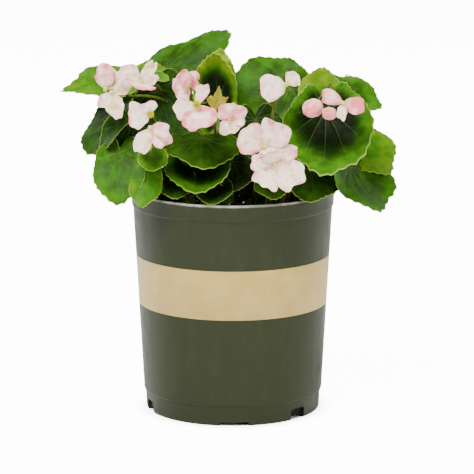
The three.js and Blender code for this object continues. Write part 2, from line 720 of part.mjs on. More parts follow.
// Peat and bark with a lumpy top, raised by a formula, and a hole for each stem.
function pottingMix() {
  const bottom = FLOOR + CLEARANCE;
  const insideFoot = FOOT_RADIUS - WALL - CLEARANCE;
  const edge = wallRadius(MIX_TOP) - WALL - CLEARANCE;
  const broadLump = (x, y) => MIX_BUMP * Math.sin(0.21 * x + 1) * Math.cos(0.18 * y);
  const smallLump = (x, y) => 0.4 * MIX_BUMP * Math.sin(0.5 * x + 0.4 * y);
  const body = new THREE.LatheGeometry(
    [
      [0, bottom],
      [insideFoot, bottom],
      [insideFoot + 0.4, FOOT_HEIGHT],
      [wallRadius(STEP_HEIGHT) - WALL - CLEARANCE, STEP_HEIGHT + 0.5],
      [edge, MIX_TOP],
      [0.7 * edge, MIX_TOP],
      [0.4 * edge, MIX_TOP],
      [0, MIX_TOP],
    ].map(([r, z]) => new THREE.Vector2(r, z)),
    MIX_SIDES,
  ).rotateX(Math.PI / 2);
  const place = body.attributes.position;
  for (let i = 0; i < place.count; i++) {
    const [x, y, z] = [place.getX(i), place.getY(i), place.getZ(i)];
    const onTop = z > MIX_TOP - 1 && Math.hypot(x, y) < 0.9 * edge;
    if (onTop) place.setZ(i, z + broadLump(x, y) + smallLump(x, y));
  }
  const holes = STEMS.map((stem) => {
    return tube(stemCurve(stem, MIX_TOP - STEM_HOLE_DEPTH), STEM_HOLE_RADIUS, STEM_SIDES, STEM_STEPS);
  });
  return solid(body).subtract(join(holes));
}

const begonia = new THREE.Group();
begonia.add(piece("pot", pot(), colour.pot));
begonia.add(piece("printed_band", band(), colour.band));
begonia.add(piece("potting_mix", pottingMix(), colour.mix));
let blooms = 0;
for (const stem of STEMS) {
  begonia.add(piece(stem.name, leafyStem(stem), colour.leaf));
  for (const bloom of stem.spray.blooms) {
    blooms += 1;
    const number = String(blooms).padStart(2, "0");
    begonia.add(piece("bloom_" + number, bloomSolid(bloom), colour.petal));
    if (bloom.kind === "open") {
      begonia.add(piece("stamens_" + number, stamens(bloom), colour.stamen));
    }
  }
}

export default begonia;
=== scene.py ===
# A wax begonia in a grower's olive green pot: looks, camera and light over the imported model.
import random
from functools import partial
from math import atan2, copysign, cos, exp, hypot, pi, radians, sin, sqrt

import bpy
import numpy
from mathutils import Matrix, Quaternion, Vector, noise


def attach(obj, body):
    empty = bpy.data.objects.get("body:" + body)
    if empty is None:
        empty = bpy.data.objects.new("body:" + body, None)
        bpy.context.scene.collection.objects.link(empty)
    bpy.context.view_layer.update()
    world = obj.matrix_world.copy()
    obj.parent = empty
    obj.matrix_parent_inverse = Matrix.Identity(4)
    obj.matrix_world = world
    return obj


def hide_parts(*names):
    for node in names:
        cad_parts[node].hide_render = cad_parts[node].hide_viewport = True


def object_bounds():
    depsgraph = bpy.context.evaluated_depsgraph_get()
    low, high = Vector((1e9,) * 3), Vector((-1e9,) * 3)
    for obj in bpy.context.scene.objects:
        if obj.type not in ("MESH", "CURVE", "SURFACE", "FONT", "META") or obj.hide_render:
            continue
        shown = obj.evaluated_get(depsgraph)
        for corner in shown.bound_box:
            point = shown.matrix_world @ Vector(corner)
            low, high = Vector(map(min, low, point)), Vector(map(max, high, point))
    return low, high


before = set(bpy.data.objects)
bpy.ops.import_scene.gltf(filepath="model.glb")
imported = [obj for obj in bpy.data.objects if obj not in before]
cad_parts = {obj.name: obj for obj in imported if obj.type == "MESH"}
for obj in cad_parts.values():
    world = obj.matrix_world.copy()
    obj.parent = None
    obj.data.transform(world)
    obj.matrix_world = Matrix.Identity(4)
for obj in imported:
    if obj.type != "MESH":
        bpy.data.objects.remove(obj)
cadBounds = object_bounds()
mm = 0.001
up = Vector((0, 0, 1))


# Camera, light and floor

camera = {
    "place": (3.4, -2700, 695.7),  # mm, straight in front of the pot
    "downTilt": 11.63,  # degrees
    "lens": 258.4,  # mm
}
cameraData = bpy.data.cameras.new("camera")
cameraData.lens = camera["lens"]
cameraData.clip_start = 0.1
cameraData.clip_end = 50
cameraObject = bpy.data.objects.new("camera", cameraData)
cameraObject.location = Vector(camera["place"]) * mm
cameraObject.rotation_euler = (radians(90 - camera["downTilt"]), 0, 0)
bpy.context.collection.objects.link(cameraObject)
bpy.context.scene.camera = cameraObject

softLights = {  # place, aim and size in m, watts, and whether its reflection shows
    "keyLight": ((-0.8, -1.3, 2.2), (0, 0, 0.2), (1.2, 1.2), 150, True),
    "fillLight": ((1.5, -1.5, 0.9), (0, 0, 0.18), (1.4, 1.4), 45, False),
    "backLight": ((0.3, 1.5, 1.6), (0, 0, 0.24), (1.3, 1.3), 55, False),
    "leftStrip": ((-1.4, 0.9, 0.5), (0, 0, 0.12), (0.5, 1.4), 23, True),
    "rightStrip": ((1.4, 0.9, 0.5), (0, 0, 0.12), (0.5, 1.4), 11, True),
}
for name, (place, aim, size, watts, shows) in softLights.items():
    bpy.ops.object.light_add(type="AREA", location=place)
    lamp = bpy.context.object
    lamp.name = name
    lamp.data.shape = "RECTANGLE"
    lamp.data.size, lamp.data.size_y = size
    lamp.data.energy = watts
    lamp.visible_glossy = shows
    lamp.rotation_euler = (Vector(aim) - Vector(place)).to_track_quat("-Z", "Y").to_euler()

studio = {
    "skyStrength": 0.12, "floorGlow": 12.0, "paintedShadowGlow": 4.5,
    "contact": (66, 84), "paintedShadowEdge": 3.5,  # mm, as are the next ones
    "floorRadius": 5000, "wallRadius": 6000, "wallHeight": 7000, "boardSize": 6000,
}
world = bpy.data.worlds.new("studio")
bpy.context.scene.world = world
world.use_nodes = True
world.node_tree.nodes["Background"].inputs["Color"].default_value = (1, 1, 1, 1)
world.node_tree.nodes["Background"].inputs["Strength"].default_value = studio["skyStrength"]
print("camera and light placed")


# Materials

# Each kind of node in use: its type, the output that is read, what is given in turn and what is fixed.
# Any other kind is an operation of a Math node.
nodeKinds = {
    "place": ("TexCoord", "Object", (), {}),
    "chart": ("UVMap", 0, ("uv_map",), {}),
    "value": ("Attribute", "Fac", ("attribute_name",), {}),
    "stretch": ("Mapping", 0, ("Vector", "Scale"), {}),
    "x": ("SeparateXYZ", "X", ("Vector",), {}),
    "y": ("SeparateXYZ", "Y", ("Vector",), {}),
    "z": ("SeparateXYZ", "Z", ("Vector",), {}),
    "length": ("VectorMath", "Value", (0,), {"operation": "LENGTH"}),
    "noise": ("TexNoise", 0, ("Vector", "sizeMm", "Detail", "Roughness"), {}),
    "cells": ("TexVoronoi", "Distance", ("Vector", "sizeMm"), {}),
    "ramp": ("ValToRGB", 0, ("Fac", "stops"), {}),
    "fade": ("MapRange", 0, ("Value", "From Min", "From Max", "To Min", "To Max"),
             {"interpolation_type": "SMOOTHSTEP"}),
    "blend": ("Mix", 2, (0, 6, 7), {"data_type": "RGBA"}),
    "bump": ("Bump", 0, ("Height", "Strength", "Distance"), {}),
}
shaderSockets = {"colour": "Base Color", "rough": "Roughness", "bump": "Normal", "glow": "Emission Strength"}


def linear(hexColour):
    channels = [int(hexColour[i:i + 2], 16) / 255 for i in (1, 3, 5)]
    return [c / 12.92 if c <= 0.04045 else ((c + 0.055) / 1.055) ** 2.4 for c in channels] + [1.0]


def addNode(tree, kind, *given):
    nodeType, output, keys, fixed = nodeKinds.get(kind, ("Math", 0, (0, 1), {"operation": kind.upper()}))
    node = tree.nodes.new("ShaderNode" + nodeType)
    for key, value in [*fixed.items(), *zip(keys, given)]:
        if key == "stops":
            stops = node.color_ramp.elements
            while len(stops) < len(value):
                stops.new(1)
            for stop, (position, colour) in zip(stops, value):
                stop.position, stop.color = position, linear(colour)
        elif key == "sizeMm":
            node.inputs["Scale"].default_value = 1000 / value
        elif isinstance(key, str) and hasattr(node, key):
            setattr(node, key, value)
        elif isinstance(value, bpy.types.NodeSocket):
            tree.links.new(value, node.inputs[key])
        else:
            node.inputs[key].default_value = linear(value) if isinstance(value, str) else value
    return node.outputs[output]


def newMaterial(name, shaderValues):
    material = bpy.data.materials.new(name)
    material.use_nodes = True
    for key, value in shaderValues.items():
        material.node_tree.nodes["Principled BSDF"].inputs[key].default_value = value
    return material, partial(addNode, material.node_tree)


def dress(material, **sources):
    tree = material.node_tree
    for key, source in sources.items():
        tree.links.new(source, tree.nodes["Principled BSDF"].inputs[shaderSockets[key]])
    return material


def patternedSkin(name, shaderValues, look):
    # A noise has its scale along the height, its size in mm and its detail. Each tint lies over the base
    # where its noise rises from one value to another, up to a share. A bump has a strength and mm of height.
    material, add = newMaterial(name, shaderValues)
    place, noises, colour = add("place"), {}, look["base"]
    for key, (upright, *values) in look["noises"].items():
        noises[key] = add("noise", add("stretch", place, (1, 1, upright)), *values)
    for key, low, high, share, tint in look["tints"]:
        colour = add("blend", add("fade", noises[key], low, high, 0, share), colour, tint)
    dress(material, colour=colour)
    if "rough" in look:
        key, smooth, rough = look["rough"]
        dress(material, rough=add("fade", noises[key], 0.3, 0.7, smooth, rough))
    if "bump" in look:
        key, strength, height = look["bump"]
        dress(material, bump=add("bump", noises[key], strength, height * mm))
    return material


# Moulded polypropylene: an olive green plastic with a soft satin skin, fine handling marks, a darker, patchy
# tint towards the foot and a pale band painted on the top of the rim as its highlight. It gives the pot its
# broad, quiet sheen.
potLook = {
    # the colour under dust is a darker, patchy tint towards the foot
    "base": "#292e1c", "worn": "#313523", "dust": "#262a17", "rimEdge": "#a3a596",
    "roughness": 0.4, "grainMm": 0.9, "scuffMm": 14,
    "rimHighlightAt": (0.1795, 0.1809), "footTintBelow": 0.03,  # m
}


def mouldedPolypropylene():
    material, add = newMaterial("olive moulded polypropylene", {"IOR": 1.49, "Specular IOR Level": 0.12})
    look, place = potLook, add("place")
    height = add("z", place)
    grain = add("noise", place, look["grainMm"], 3)
    scuff = add("noise", add("stretch", place, (1, 1, 0.35)), look["scuffMm"], 6, 0.68)
    colour = add("blend", add("fade", scuff, 0.42, 0.72, 0, 0.55), look["base"], look["worn"])
    # darker, patchy tint towards the foot
    footTinted = add("fade", height, 0, look["footTintBelow"], 0.5, 0)
    footTinted = add("multiply", footTinted, add("fade", scuff, 0.35, 0.6, 0.2, 1))
    colour = add("blend", footTinted, colour, look["dust"])
    # painted highlight: a pale band over the top of the rim, broken up by the scuff noise
    rimHighlightShare = add("fade", height, *look["rimHighlightAt"], 0, 0.85)
    rimHighlightShare = add("multiply", rimHighlightShare, add("fade", scuff, 0.4, 0.6, 0.4, 1))
    colour = add("blend", rimHighlightShare, colour, look["rimEdge"])
    rough = add("fade", scuff, 0.3, 0.75, look["roughness"] - 0.05, look["roughness"] + 0.14)
    return dress(material, colour=colour, rough=rough, bump=add("bump", grain, 0.25, 0.06 * mm))


# Printed label stock: tan uncoated paper under a thin varnish, with the brown flecks of recycled fibre.
# It gives the band its warm, slightly speckled face.
labelStock = patternedSkin("tan printed label stock", {"IOR": 1.46, "Coat Weight": 0.1}, {
    "base": "#ad924a", "noises": {"cloud": (1, 16.67, 4), "fleck": (1, 0.9, 2, 0.6)},
    "tints": [("cloud", 0.35, 0.65, 1, "#b69b54"), ("fleck", 0.62, 0.74, 0.6, "#82672f")],
    "rough": ("cloud", 0.44, 0.56), "bump": ("fleck", 0.2, 0.05),
})


# Damp peat and composted bark: red-brown on the fibres, with no shine, its tones darkened towards black as
# painted shade under the leaves, darkest in the hollows, and soaked black towards the floor of the pot.
peatLook = {
    "tones": [(0.3, "#070504"), (0.5, "#130d08"), (0.62, "#241810"), (0.78, "#3e2b1c")],
    "soaked": "#030302", "soakedAt": (0.02, 0.14),  # m
    "crumbMm": 2.38, "fibreMm": 0.769,
}


def dampPeat():
    material, add = newMaterial("damp peat and bark", {"IOR": 1.35})
    look, place = peatLook, add("place")
    crumb, fibre = add("noise", place, look["crumbMm"], 6, 0.7), add("noise", place, look["fibreMm"], 2)
    soaked = add("fade", add("z", place), *look["soakedAt"], 0.9, 0)
    # painted shade: the tones are darkened towards black, darkest in the hollows of the crumbs
    colour = add("blend", soaked, add("ramp", crumb, look["tones"]), look["soaked"])
    rough = add("fade", fibre, 0.3, 0.7, 0.72, 0.95)
    return dress(material, colour=colour, rough=rough, bump=add("bump", crumb, 0.9, 0.6 * mm))


# Waxy begonia leaf, upper face: a thick shiny cuticle over green tissue. Sunk veins fan out from the
# stalk, the blade puckers between them, and a thin pale margin is painted on as the highlight along its edge.
# Each blade carries its own tone, from deep green to yellow-green where it is young, with painted shade:
# darker blades where others shade them and darker middles in cupped ones.
leafLook = {
    "tones": [
        (0.0, "#071202"), (0.25, "#122a05"), (0.45, "#264408"),
        (0.65, "#34660b"), (0.85, "#5d7a0b"), (1.0, "#909f1c"),
    ],
    "veins": "#7d9a4a", "margin": "#9fb552", "roughness": 0.46, "mottleMm": 9.09, "cellMm": 1.923,
    "veinFan": radians(15), "veinCurve": 0.5,  # half the angle between two main veins, and their curve
    "veinWidth": 0.012,  # share of the blade's length
    "sideVeins": 13, "sideSlant": 9,
}
leafTissue = {"Subsurface Weight": 0.12, "Subsurface Radius": (0.6, 1.0, 0.15), "Subsurface Scale": 0.0012}


def veinPattern(add):
    spot = add("chart", "blade")
    reach, turn = add("length", spot), add("arctan2", add("y", spot), add("x", spot))
    bend = add("multiply", add("sine", turn), add("multiply", reach, leafLook["veinCurve"]))
    off = add("pingpong", add("add", turn, bend), leafLook["veinFan"])
    width = add("multiply", add("subtract", 1.25, reach), leafLook["veinWidth"])
    main = add("fade", add("divide", add("multiply", off, reach), width), 0.25, 1, 1, 0)
    slant = add("multiply", off, leafLook["sideSlant"])
    row = add("subtract", add("multiply", reach, leafLook["sideVeins"]), slant)
    return main, add("fade", add("pingpong", row, 0.5), 0, 0.14, 1, 0)


def waxyLeaf():
    material, add = newMaterial("waxy begonia leaf", {"IOR": 1.45, "Specular IOR Level": 0.07, **leafTissue})
    look, place, share = leafLook, add("place"), add("value", "share")
    main, side = veinPattern(add)
    mottle, cells = add("noise", place, look["mottleMm"], 4, 0.6), add("cells", place, look["cellMm"])
    tone = add("add", add("value", "tone"), add("fade", mottle, 0.25, 0.75, -0.12, 0.12))
    colour = add("blend", add("multiply", main, 0.12), add("ramp", tone, look["tones"]), look["veins"])
    colour = add("blend", add("multiply", side, 0.03), colour, look["veins"])
    # painted highlight: a thin pale line along the blade's edge
    colour = add("blend", add("fade", share, 0.97, 0.994, 0, 0.5), colour, look["margin"])
    rough = add("fade", mottle, 0.3, 0.7, look["roughness"] - 0.06, look["roughness"] + 0.08)
    sunk = add("add", add("multiply", main, -1), add("multiply", side, -0.2))
    height = add("add", sunk, add("multiply", cells, 0.16))
    return dress(material, colour=colour, rough=rough, bump=add("bump", height, 0.55, 0.4 * mm))


# Underside of the leaf: the same tissue without the wax, paler and matte, with raised veins.
undersideLook = {
    "tones": [(0.0, "#22331a"), (0.5, "#40592a"), (1.0, "#8a9e44")], "veins": "#8c9a5c", "mottleMm": 7.69,
}


def leafUnderside():
    material, add = newMaterial("begonia leaf underside", {
        "IOR": 1.42, "Specular IOR Level": 0.1, **leafTissue,
    })
    look, mottle = undersideLook, add("noise", add("place"), undersideLook["mottleMm"], 3)
    main, side = veinPattern(add)
    tone = add("add", add("value", "tone"), add("fade", mottle, 0.25, 0.75, -0.1, 0.1))
    colour = add("blend", add("multiply", main, 0.4), add("ramp", tone, look["tones"]), look["veins"])
    height = add("add", main, add("multiply", side, 0.5))
    rough = add("fade", mottle, 0.3, 0.7, 0.5, 0.66)
    return dress(material, colour=colour, rough=rough, bump=add("bump", height, 0.7, 0.4 * mm))


# Succulent stem: watery green tissue flushed with red under a thin shiny skin, streaked along its length.
stemSkin = patternedSkin("succulent begonia stem", {
    "IOR": 1.42, "Specular IOR Level": 0.2,
    "Subsurface Weight": 0.2, "Subsurface Radius": (1.0, 0.7, 0.2), "Subsurface Scale": 0.0015,
}, {
    "base": "#31480f", "noises": {"streak": (0.2, 2.083, 4), "flush": (1, 26.3, 2)},
    "tints": [("streak", 0.35, 0.65, 1, "#557022"), ("flush", 0.45, 0.7, 0.6, "#652c1d")],
    "rough": ("streak", 0.32, 0.45), "bump": ("streak", 0.4, 0.3),
})


# Begonia tepal: thin, watery tissue that scatters the light, with a faint frost, fine veins from foot to
# rim and a blush that gathers at the rim. Each bloom carries its own blush, with painted shade along its
# folds.
petalLook = {
    "blushes": [
        (0.0, "#dcbf8c"), (0.18, "#f3dcbd"), (0.36, "#fbe7da"),
        (0.6, "#f8c4bb"), (0.82, "#f29f9c"), (1.0, "#e0747e"),
    ],
    "foot": "#ccc878", "vein": "#dc9a94", "veins": 46, "cloudMm": 5.263, "frostMm": 0.3846,
}


def frostedTepal():
    material, add = newMaterial("frosted begonia tepal", {
        "IOR": 1.4, "Specular IOR Level": 0.2,
        "Subsurface Weight": 0.15, "Subsurface Radius": (1.0, 0.55, 0.45), "Subsurface Scale": 0.001,
    })
    look, place, spot = petalLook, add("place"), add("chart", "blade")
    lengthwise = add("x", spot)
    cloud, frost = add("noise", place, look["cloudMm"], 3), add("noise", place, look["frostMm"], 1)
    fan = add("divide", add("y", spot), add("add", lengthwise, 0.35))
    ridges = add("sine", add("add", add("multiply", fan, look["veins"]), add("multiply", cloud, 2.5)))
    blush = add("add", add("value", "tone"), add("fade", add("value", "share"), 0.5, 1, -0.04, 0.22))
    blush = add("add", blush, add("fade", cloud, 0.25, 0.75, -0.16, 0.16))
    colour = add("ramp", blush, look["blushes"])
    colour = add("blend", add("fade", ridges, 0.5, 1, 0, 0.16), colour, look["vein"])
    colour = add("blend", add("fade", lengthwise, 0.02, 0.24, 0.8, 0), colour, look["foot"])
    rough = add("fade", frost, 0.35, 0.65, 0.42, 0.6)
    height = add("add", add("multiply", ridges, 0.5), add("multiply", frost, 0.4))
    return dress(material, colour=colour, rough=rough, bump=add("bump", height, 0.5, 0.25 * mm))


# Expanded perlite: small white grains with a chalky, pitted face that dot the peat.
perlite = patternedSkin("expanded perlite", {"IOR": 1.45, "Roughness": 0.85}, {
    "base": "#b8b0a2", "noises": {"pits": (1, 1.111, 3)},
    "tints": [("pits", 0.35, 0.65, 1, "#e6e2d8")], "bump": ("pits", 0.6, 0.3),
})


# Pollen-dusted anthers: a deep egg yellow, powdery and without gloss.
pollen = patternedSkin("pollen dusted anthers", {"IOR": 1.4, "Roughness": 0.72, "Specular IOR Level": 0.1}, {
    "base": "#9c9700", "noises": {"dust": (1, 0.6667, 2)},
    "tints": [("dust", 0.35, 0.65, 1, "#ccc800")], "bump": ("dust", 0.5, 0.2),
})


# Young golden sprout: thin new leaves, bronze-yellow with a green flush.
sproutSkin = patternedSkin("golden begonia sprout", {
    "IOR": 1.43, "Roughness": 0.38, "Subsurface Weight": 0.2, "Subsurface Scale": 0.001,
}, {
    "base": "#a5761a", "noises": {"flush": (1, 3.846, 3)},
    "tints": [("flush", 0.35, 0.65, 1, "#8f9b22")], "bump": ("flush", 0.4, 0.3),
})


# White board under the pot, out of the camera's sight, that throws the light back up.
boardWhite = patternedSkin("white reflector board", {"Roughness": 0.9, "IOR": 1.4}, {
    "base": "#e6e6e4", "noises": {"cloud": (1, 333.3, 2)}, "tints": [("cloud", 0.3, 0.7, 1, "#eaeae8")],
})


# Matte white studio floor, evenly lit from within up to its pale walls, with a painted contact shadow: its
# glow is painted lower round the pot's foot and goes dark beneath the pot.
def studioFloor():
    material, add = newMaterial("matte white studio floor", {
        "Roughness": 0.9, "IOR": 1.4, "Emission Color": (1, 1, 1, 1),
    })
    reach, (near, far) = add("length", add("place")), studio["contact"]
    # painted shadow: the glow is lower round the pot's foot and none beneath it
    glow = add("fade", reach, near * mm, far * mm, studio["paintedShadowGlow"], studio["floorGlow"])
    underPotShadow = add("fade", reach, near * mm, (near + studio["paintedShadowEdge"]) * mm, 0, 1)
    return dress(material, glow=add("multiply", glow, underPotShadow))


potPlastic = mouldedPolypropylene()
peat = dampPeat()
leafTop = waxyLeaf()
leafBelow = leafUnderside()
tepalSkin = frostedTepal()
print("materials made")


# Shared modelling helpers

def setMode(mode, selection=None):
    bpy.ops.object.mode_set(mode=mode)
    if selection:
        bpy.ops.mesh.select_all(action=selection)


def deselectAll():
    if bpy.context.object and bpy.context.object.mode != "OBJECT":
        setMode("OBJECT")
    bpy.ops.object.select_all(action="DESELECT")


def selectPieces(pieces):
    deselectAll()
    for piece in pieces:
        piece.select_set(True)
    bpy.context.view_layer.objects.active = pieces[0]


def selectWhere(parts, test, kind="VERT"):
    # Edit mode starts with only those vertices or faces selected that pass the test.
    setMode("EDIT")
    bpy.ops.mesh.select_mode(type=kind)
    setMode("EDIT", "DESELECT")
    setMode("OBJECT")
    for part in parts:
        part.select = test(part)
    setMode("EDIT")


def settle():
    # Ends an edit: the faces point outwards and the piece's place goes into its mesh.
    setMode("EDIT", "SELECT")
    bpy.ops.mesh.normals_make_consistent(inside=False)
    setMode("OBJECT")
    bpy.ops.object.transform_apply(location=True, rotation=True, scale=True)


def addObject(name, data, *materials):
    thing = bpy.data.objects.new(name, data)
    bpy.context.collection.objects.link(thing)
    for material in materials:
        data.materials.append(material)
    return thing


def joinPieces(pieces, name):
    selectPieces(pieces)
    if len(pieces) > 1:
        bpy.ops.object.join()
    whole = bpy.context.object
    whole.name = whole.data.name = name
    return whole


def applyModifier(piece, kind, **settings):
    selectPieces([piece])
    modifier = piece.modifiers.new(kind.lower(), kind)
    for key, value in settings.items():
        setattr(modifier, key, value)
    bpy.ops.object.modifier_apply(modifier=modifier.name)


def smoothAll(mesh):
    mesh.polygons.foreach_set("use_smooth", [True] * len(mesh.polygons))


def setValues(mesh, name, values):
    mesh.attributes.new(name, "FLOAT", "POINT").data.foreach_set("value", values)


def finishPiece(piece, node):
    # Nothing of the piece stands out of the CAD model's box.
    spots = numpy.empty(3 * len(piece.data.vertices), dtype=numpy.float32)
    piece.data.vertices.foreach_get("co", spots)
    spots = numpy.clip(spots.reshape(-1, 3), *cadBounds)
    piece.data.vertices.foreach_set("co", spots.ravel())
    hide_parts(node)
    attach(piece, "root")


# Pot, in mm

pot = {
    "height": 181.7, "rimRadius": 82.5, "wallFoot": 71.4, "taper": 0.055,
    "footRadius": 70.4, "footHeight": 12.5, "stepHeight": 17, "wall": 2.0, "floor": 2.6,
    "lip": 167.7, "bandBottom": 87.6, "bandTop": 128.3, "bandRecess": 0.8,
    "sides": 180, "smoothBelow": 28,  # degrees
    "slots": {"from": 59.8, "depth": 18, "steps": 12, "below": 4},
    "lowSlots": {"headings": (-89, 31, 151), "width": 23, "height": 3.2, "flat": 0.9, "bow": 0.15},
    "tallSlots": {"headings": (-42, 78, 198), "width": 16, "height": 9.5, "flat": 0.62, "bow": 0.45},
}


def wallAt(height):
    return pot["wallFoot"] + pot["taper"] * height


def turnedSkin(name, profile, sides):
    # A disc is extruded up through the profile's radii and heights, one ring after another.
    firstRadius, firstHeight = profile[0]
    bpy.ops.mesh.primitive_circle_add(
        vertices=sides, radius=firstRadius * mm, fill_type="NGON", location=(0, 0, firstHeight * mm))
    piece = bpy.context.object
    piece.name = name
    setMode("EDIT")
    bpy.ops.mesh.flip_normals()
    for (radius, height), (nextRadius, nextHeight) in zip(profile, profile[1:]):
        bpy.ops.mesh.extrude_region_move(TRANSFORM_OT_translate={"value": (0, 0, (nextHeight - height) * mm)})
        scale = nextRadius / radius
        bpy.ops.transform.resize(value=(scale, scale, 1), center_override=(0, 0, nextHeight * mm))
    settle()
    return piece


def potProfile():
    # Radius and height, from the foot up the outside, over the rolled rim and down the inside.
    inner = lambda height: wallAt(height) - pot["wall"]
    lip, top, rim = pot["lip"], pot["height"], pot["rimRadius"]
    step, foot, footTop, floor = pot["stepHeight"], pot["footRadius"], pot["footHeight"], pot["floor"]
    bottom, bandTop, seat = pot["bandBottom"], pot["bandTop"], pot["bandRecess"]
    return [
        (foot - 3, 0), (foot - 1.6, 0), (foot - 0.5, 0.5), (foot, 1.8), (foot + 0.5, footTop),
        (foot + 0.8, footTop + 1), (wallAt(step) - 0.8, step - 1), (wallAt(step), step),
        (wallAt(40), 40), (wallAt(64), 64), (wallAt(bottom), bottom), (wallAt(bottom) - seat, bottom),
        (wallAt(bandTop) - seat, bandTop), (wallAt(bandTop), bandTop), (wallAt(150), 150),
        (wallAt(lip - 0.6), lip - 0.6), (wallAt(lip) + 0.5, lip),
        (wallAt(lip) + 0.9, lip + 0.8), (wallAt(lip) + 1.05, lip + 2),
        (rim - 0.35, top - 4), (rim, top - 3), (rim - 0.05, top - 1.4), (rim - 0.5, top - 0.4),
        (rim - 1.3, top), (rim - 2.1, top - 0.3), (rim - 2.6, top - 1.1),
        (inner(lip) + 0.3, lip + 1), (inner(lip), lip - 1), (inner(100), 100), (inner(step), step),
        (foot - 1.5, footTop), (foot - 2, floor + 1), (foot - 3, floor), (20, floor),
    ]


def drainSlot(slot, heading):
    # The opening's outline is extruded outwards through the wall of the foot.
    half, tall, slots = slot["width"] / 2 * mm, slot["height"] * mm, pot["slots"]
    outline = [(-half, -slots["below"] * mm), (half, -slots["below"] * mm)]
    for k in range(slots["steps"] + 1):
        turn = pi * k / slots["steps"]
        side = copysign(abs(cos(turn)) ** 0.6, cos(turn))
        rise = slot["flat"] + (1 - slot["flat"]) * sin(turn) ** slot["bow"]
        outline.append((half * side, tall * rise))
    bpy.ops.mesh.primitive_circle_add(vertices=len(outline), radius=0.01, fill_type="NGON")
    cutter = bpy.context.object
    for vertex, (across, height) in zip(cutter.data.vertices, outline):
        vertex.co = (slots["from"] * mm, across, height)
    setMode("EDIT", "SELECT")
    bpy.ops.mesh.extrude_region_move(TRANSFORM_OT_translate={"value": (slots["depth"] * mm, 0, 0)})
    cutter.rotation_euler = (0, 0, radians(heading))
    settle()
    return cutter


# The floor is the bottom of a wide drum, whose wall is the backdrop from every side.
deselectAll()
floorEdge, wall = studio["floorRadius"], studio["wallRadius"]
floor = turnedSkin("studioFloor", [
    (floorEdge, 0), (0.9 * wall, 150), (wall, 900), (wall, studio["wallHeight"]),
], 96)
floor.data.materials.append(studioFloor())
bpy.ops.mesh.primitive_plane_add(size=studio["boardSize"] * mm, location=(0, 0, -0.5 * mm))
board = bpy.context.object
board.name = "whiteBoard"
board.data.materials.append(boardWhite)
for sight in ("visible_diffuse", "visible_glossy", "visible_transmission", "visible_shadow"):
    setattr(floor, sight, False)
board.visible_camera = board.visible_shadow = False

deselectAll()
potPiece = turnedSkin("olivePot", potProfile(), pot["sides"])
openings = [(slot, heading) for slot in (pot["lowSlots"], pot["tallSlots"]) for heading in slot["headings"]]
cutter = joinPieces([drainSlot(*opening) for opening in openings], "drainCutter")
applyModifier(potPiece, "BOOLEAN", operation="DIFFERENCE", object=cutter, solver="EXACT")
bpy.data.objects.remove(cutter)
bpy.ops.object.shade_smooth_by_angle(angle=radians(pot["smoothBelow"]))
potPiece.data.materials.clear()
potPiece.data.materials.append(potPlastic)
finishPiece(potPiece, "pot")
print("pot turned")


# Printed band, in mm

band = {"clearance": 0.3, "sunk": 0.02, "thickness": 0.4, "bevel": 0.09, "smoothBelow": 35}
bandLow, bandHigh = pot["bandBottom"] + band["clearance"], pot["bandTop"] - band["clearance"]
lowRadius, highRadius = wallAt(bandLow) - band["sunk"], wallAt(bandHigh) - band["sunk"]
deselectAll()
bpy.ops.mesh.primitive_cylinder_add(
    vertices=pot["sides"], radius=lowRadius * mm, depth=(bandHigh - bandLow) * mm, end_fill_type="NOTHING",
    location=(0, 0, (bandLow + bandHigh) / 2 * mm))
bandPiece = bpy.context.object
bandPiece.name = "printedBand"
selectWhere(bandPiece.data.vertices, lambda vertex: vertex.co.z > 0)
widen = highRadius / lowRadius
bpy.ops.transform.resize(value=(widen, widen, 1), center_override=(0, 0, bandHigh * mm))
setMode("OBJECT")
bpy.ops.object.transform_apply(location=True, rotation=True, scale=True)
applyModifier(bandPiece, "SOLIDIFY", thickness=band["thickness"] * mm, offset=-1)
applyModifier(bandPiece, "BEVEL", width=band["bevel"] * mm, segments=2, limit_method="ANGLE")
bpy.ops.object.shade_smooth_by_angle(angle=radians(band["smoothBelow"]))
bandPiece.data.materials.append(labelStock)
finishPiece(bandPiece, "printed_band")
print("band wrapped")


# Potting mix, in mm

mix = {
    "top": 160, "floor": 2.9, "gap": 0.4, "lump": 1.6, "crumb": 1.1, "rings": 27, "sides": 120, "seed": 7,
    "chips": {"count": 190, "size": 3.6, "flat": (0.5, 0.28), "slot": 0},
    "grains": {"count": 40, "size": 1.5, "flat": (0.85, 0.75), "slot": 1},
}


def mixHeight(x, y):
    lump = mix["lump"]
    lumps = lump * sin(0.21 * x + 1) * cos(0.18 * y) + 0.4 * lump * sin(0.5 * x + 0.4 * y)
    crumbs = mix["crumb"] * noise.fractal(Vector((x, y, 0)) * 0.22, 0.8, 2.1, 4)
    return mix["top"] - 0.4 + lumps + crumbs


deselectAll()
mixEdge = wallAt(mix["top"]) - pot["wall"] - mix["gap"]
mixPiece = turnedSkin("pottingMix", [
    (pot["footRadius"] - 2.6, mix["floor"]), (pot["footRadius"] - 2.3, pot["footHeight"]),
    (wallAt(pot["stepHeight"]) - 2.4, pot["stepHeight"] + 0.6), (mixEdge, mix["top"]),
], mix["sides"])
selectWhere(mixPiece.data.polygons, lambda face: face.normal.z > 0.9, "FACE")
for ring in range(mix["rings"] - 1):  # rings are inset towards the middle, each to be raised into crumbs
    bpy.ops.mesh.inset(thickness=mixEdge * mm / mix["rings"], depth=0)
setMode("OBJECT")
for vertex in mixPiece.data.vertices:
    x, y, z = vertex.co / mm
    inside = min(1, max(0, (mixEdge - hypot(x, y)) / 3))
    if z > mix["top"] - 1:
        vertex.co.z += (mixHeight(x, y) - mix["top"]) * mm * inside
mixPiece.data.materials.append(peat)
mixPiece.data.materials.append(perlite)


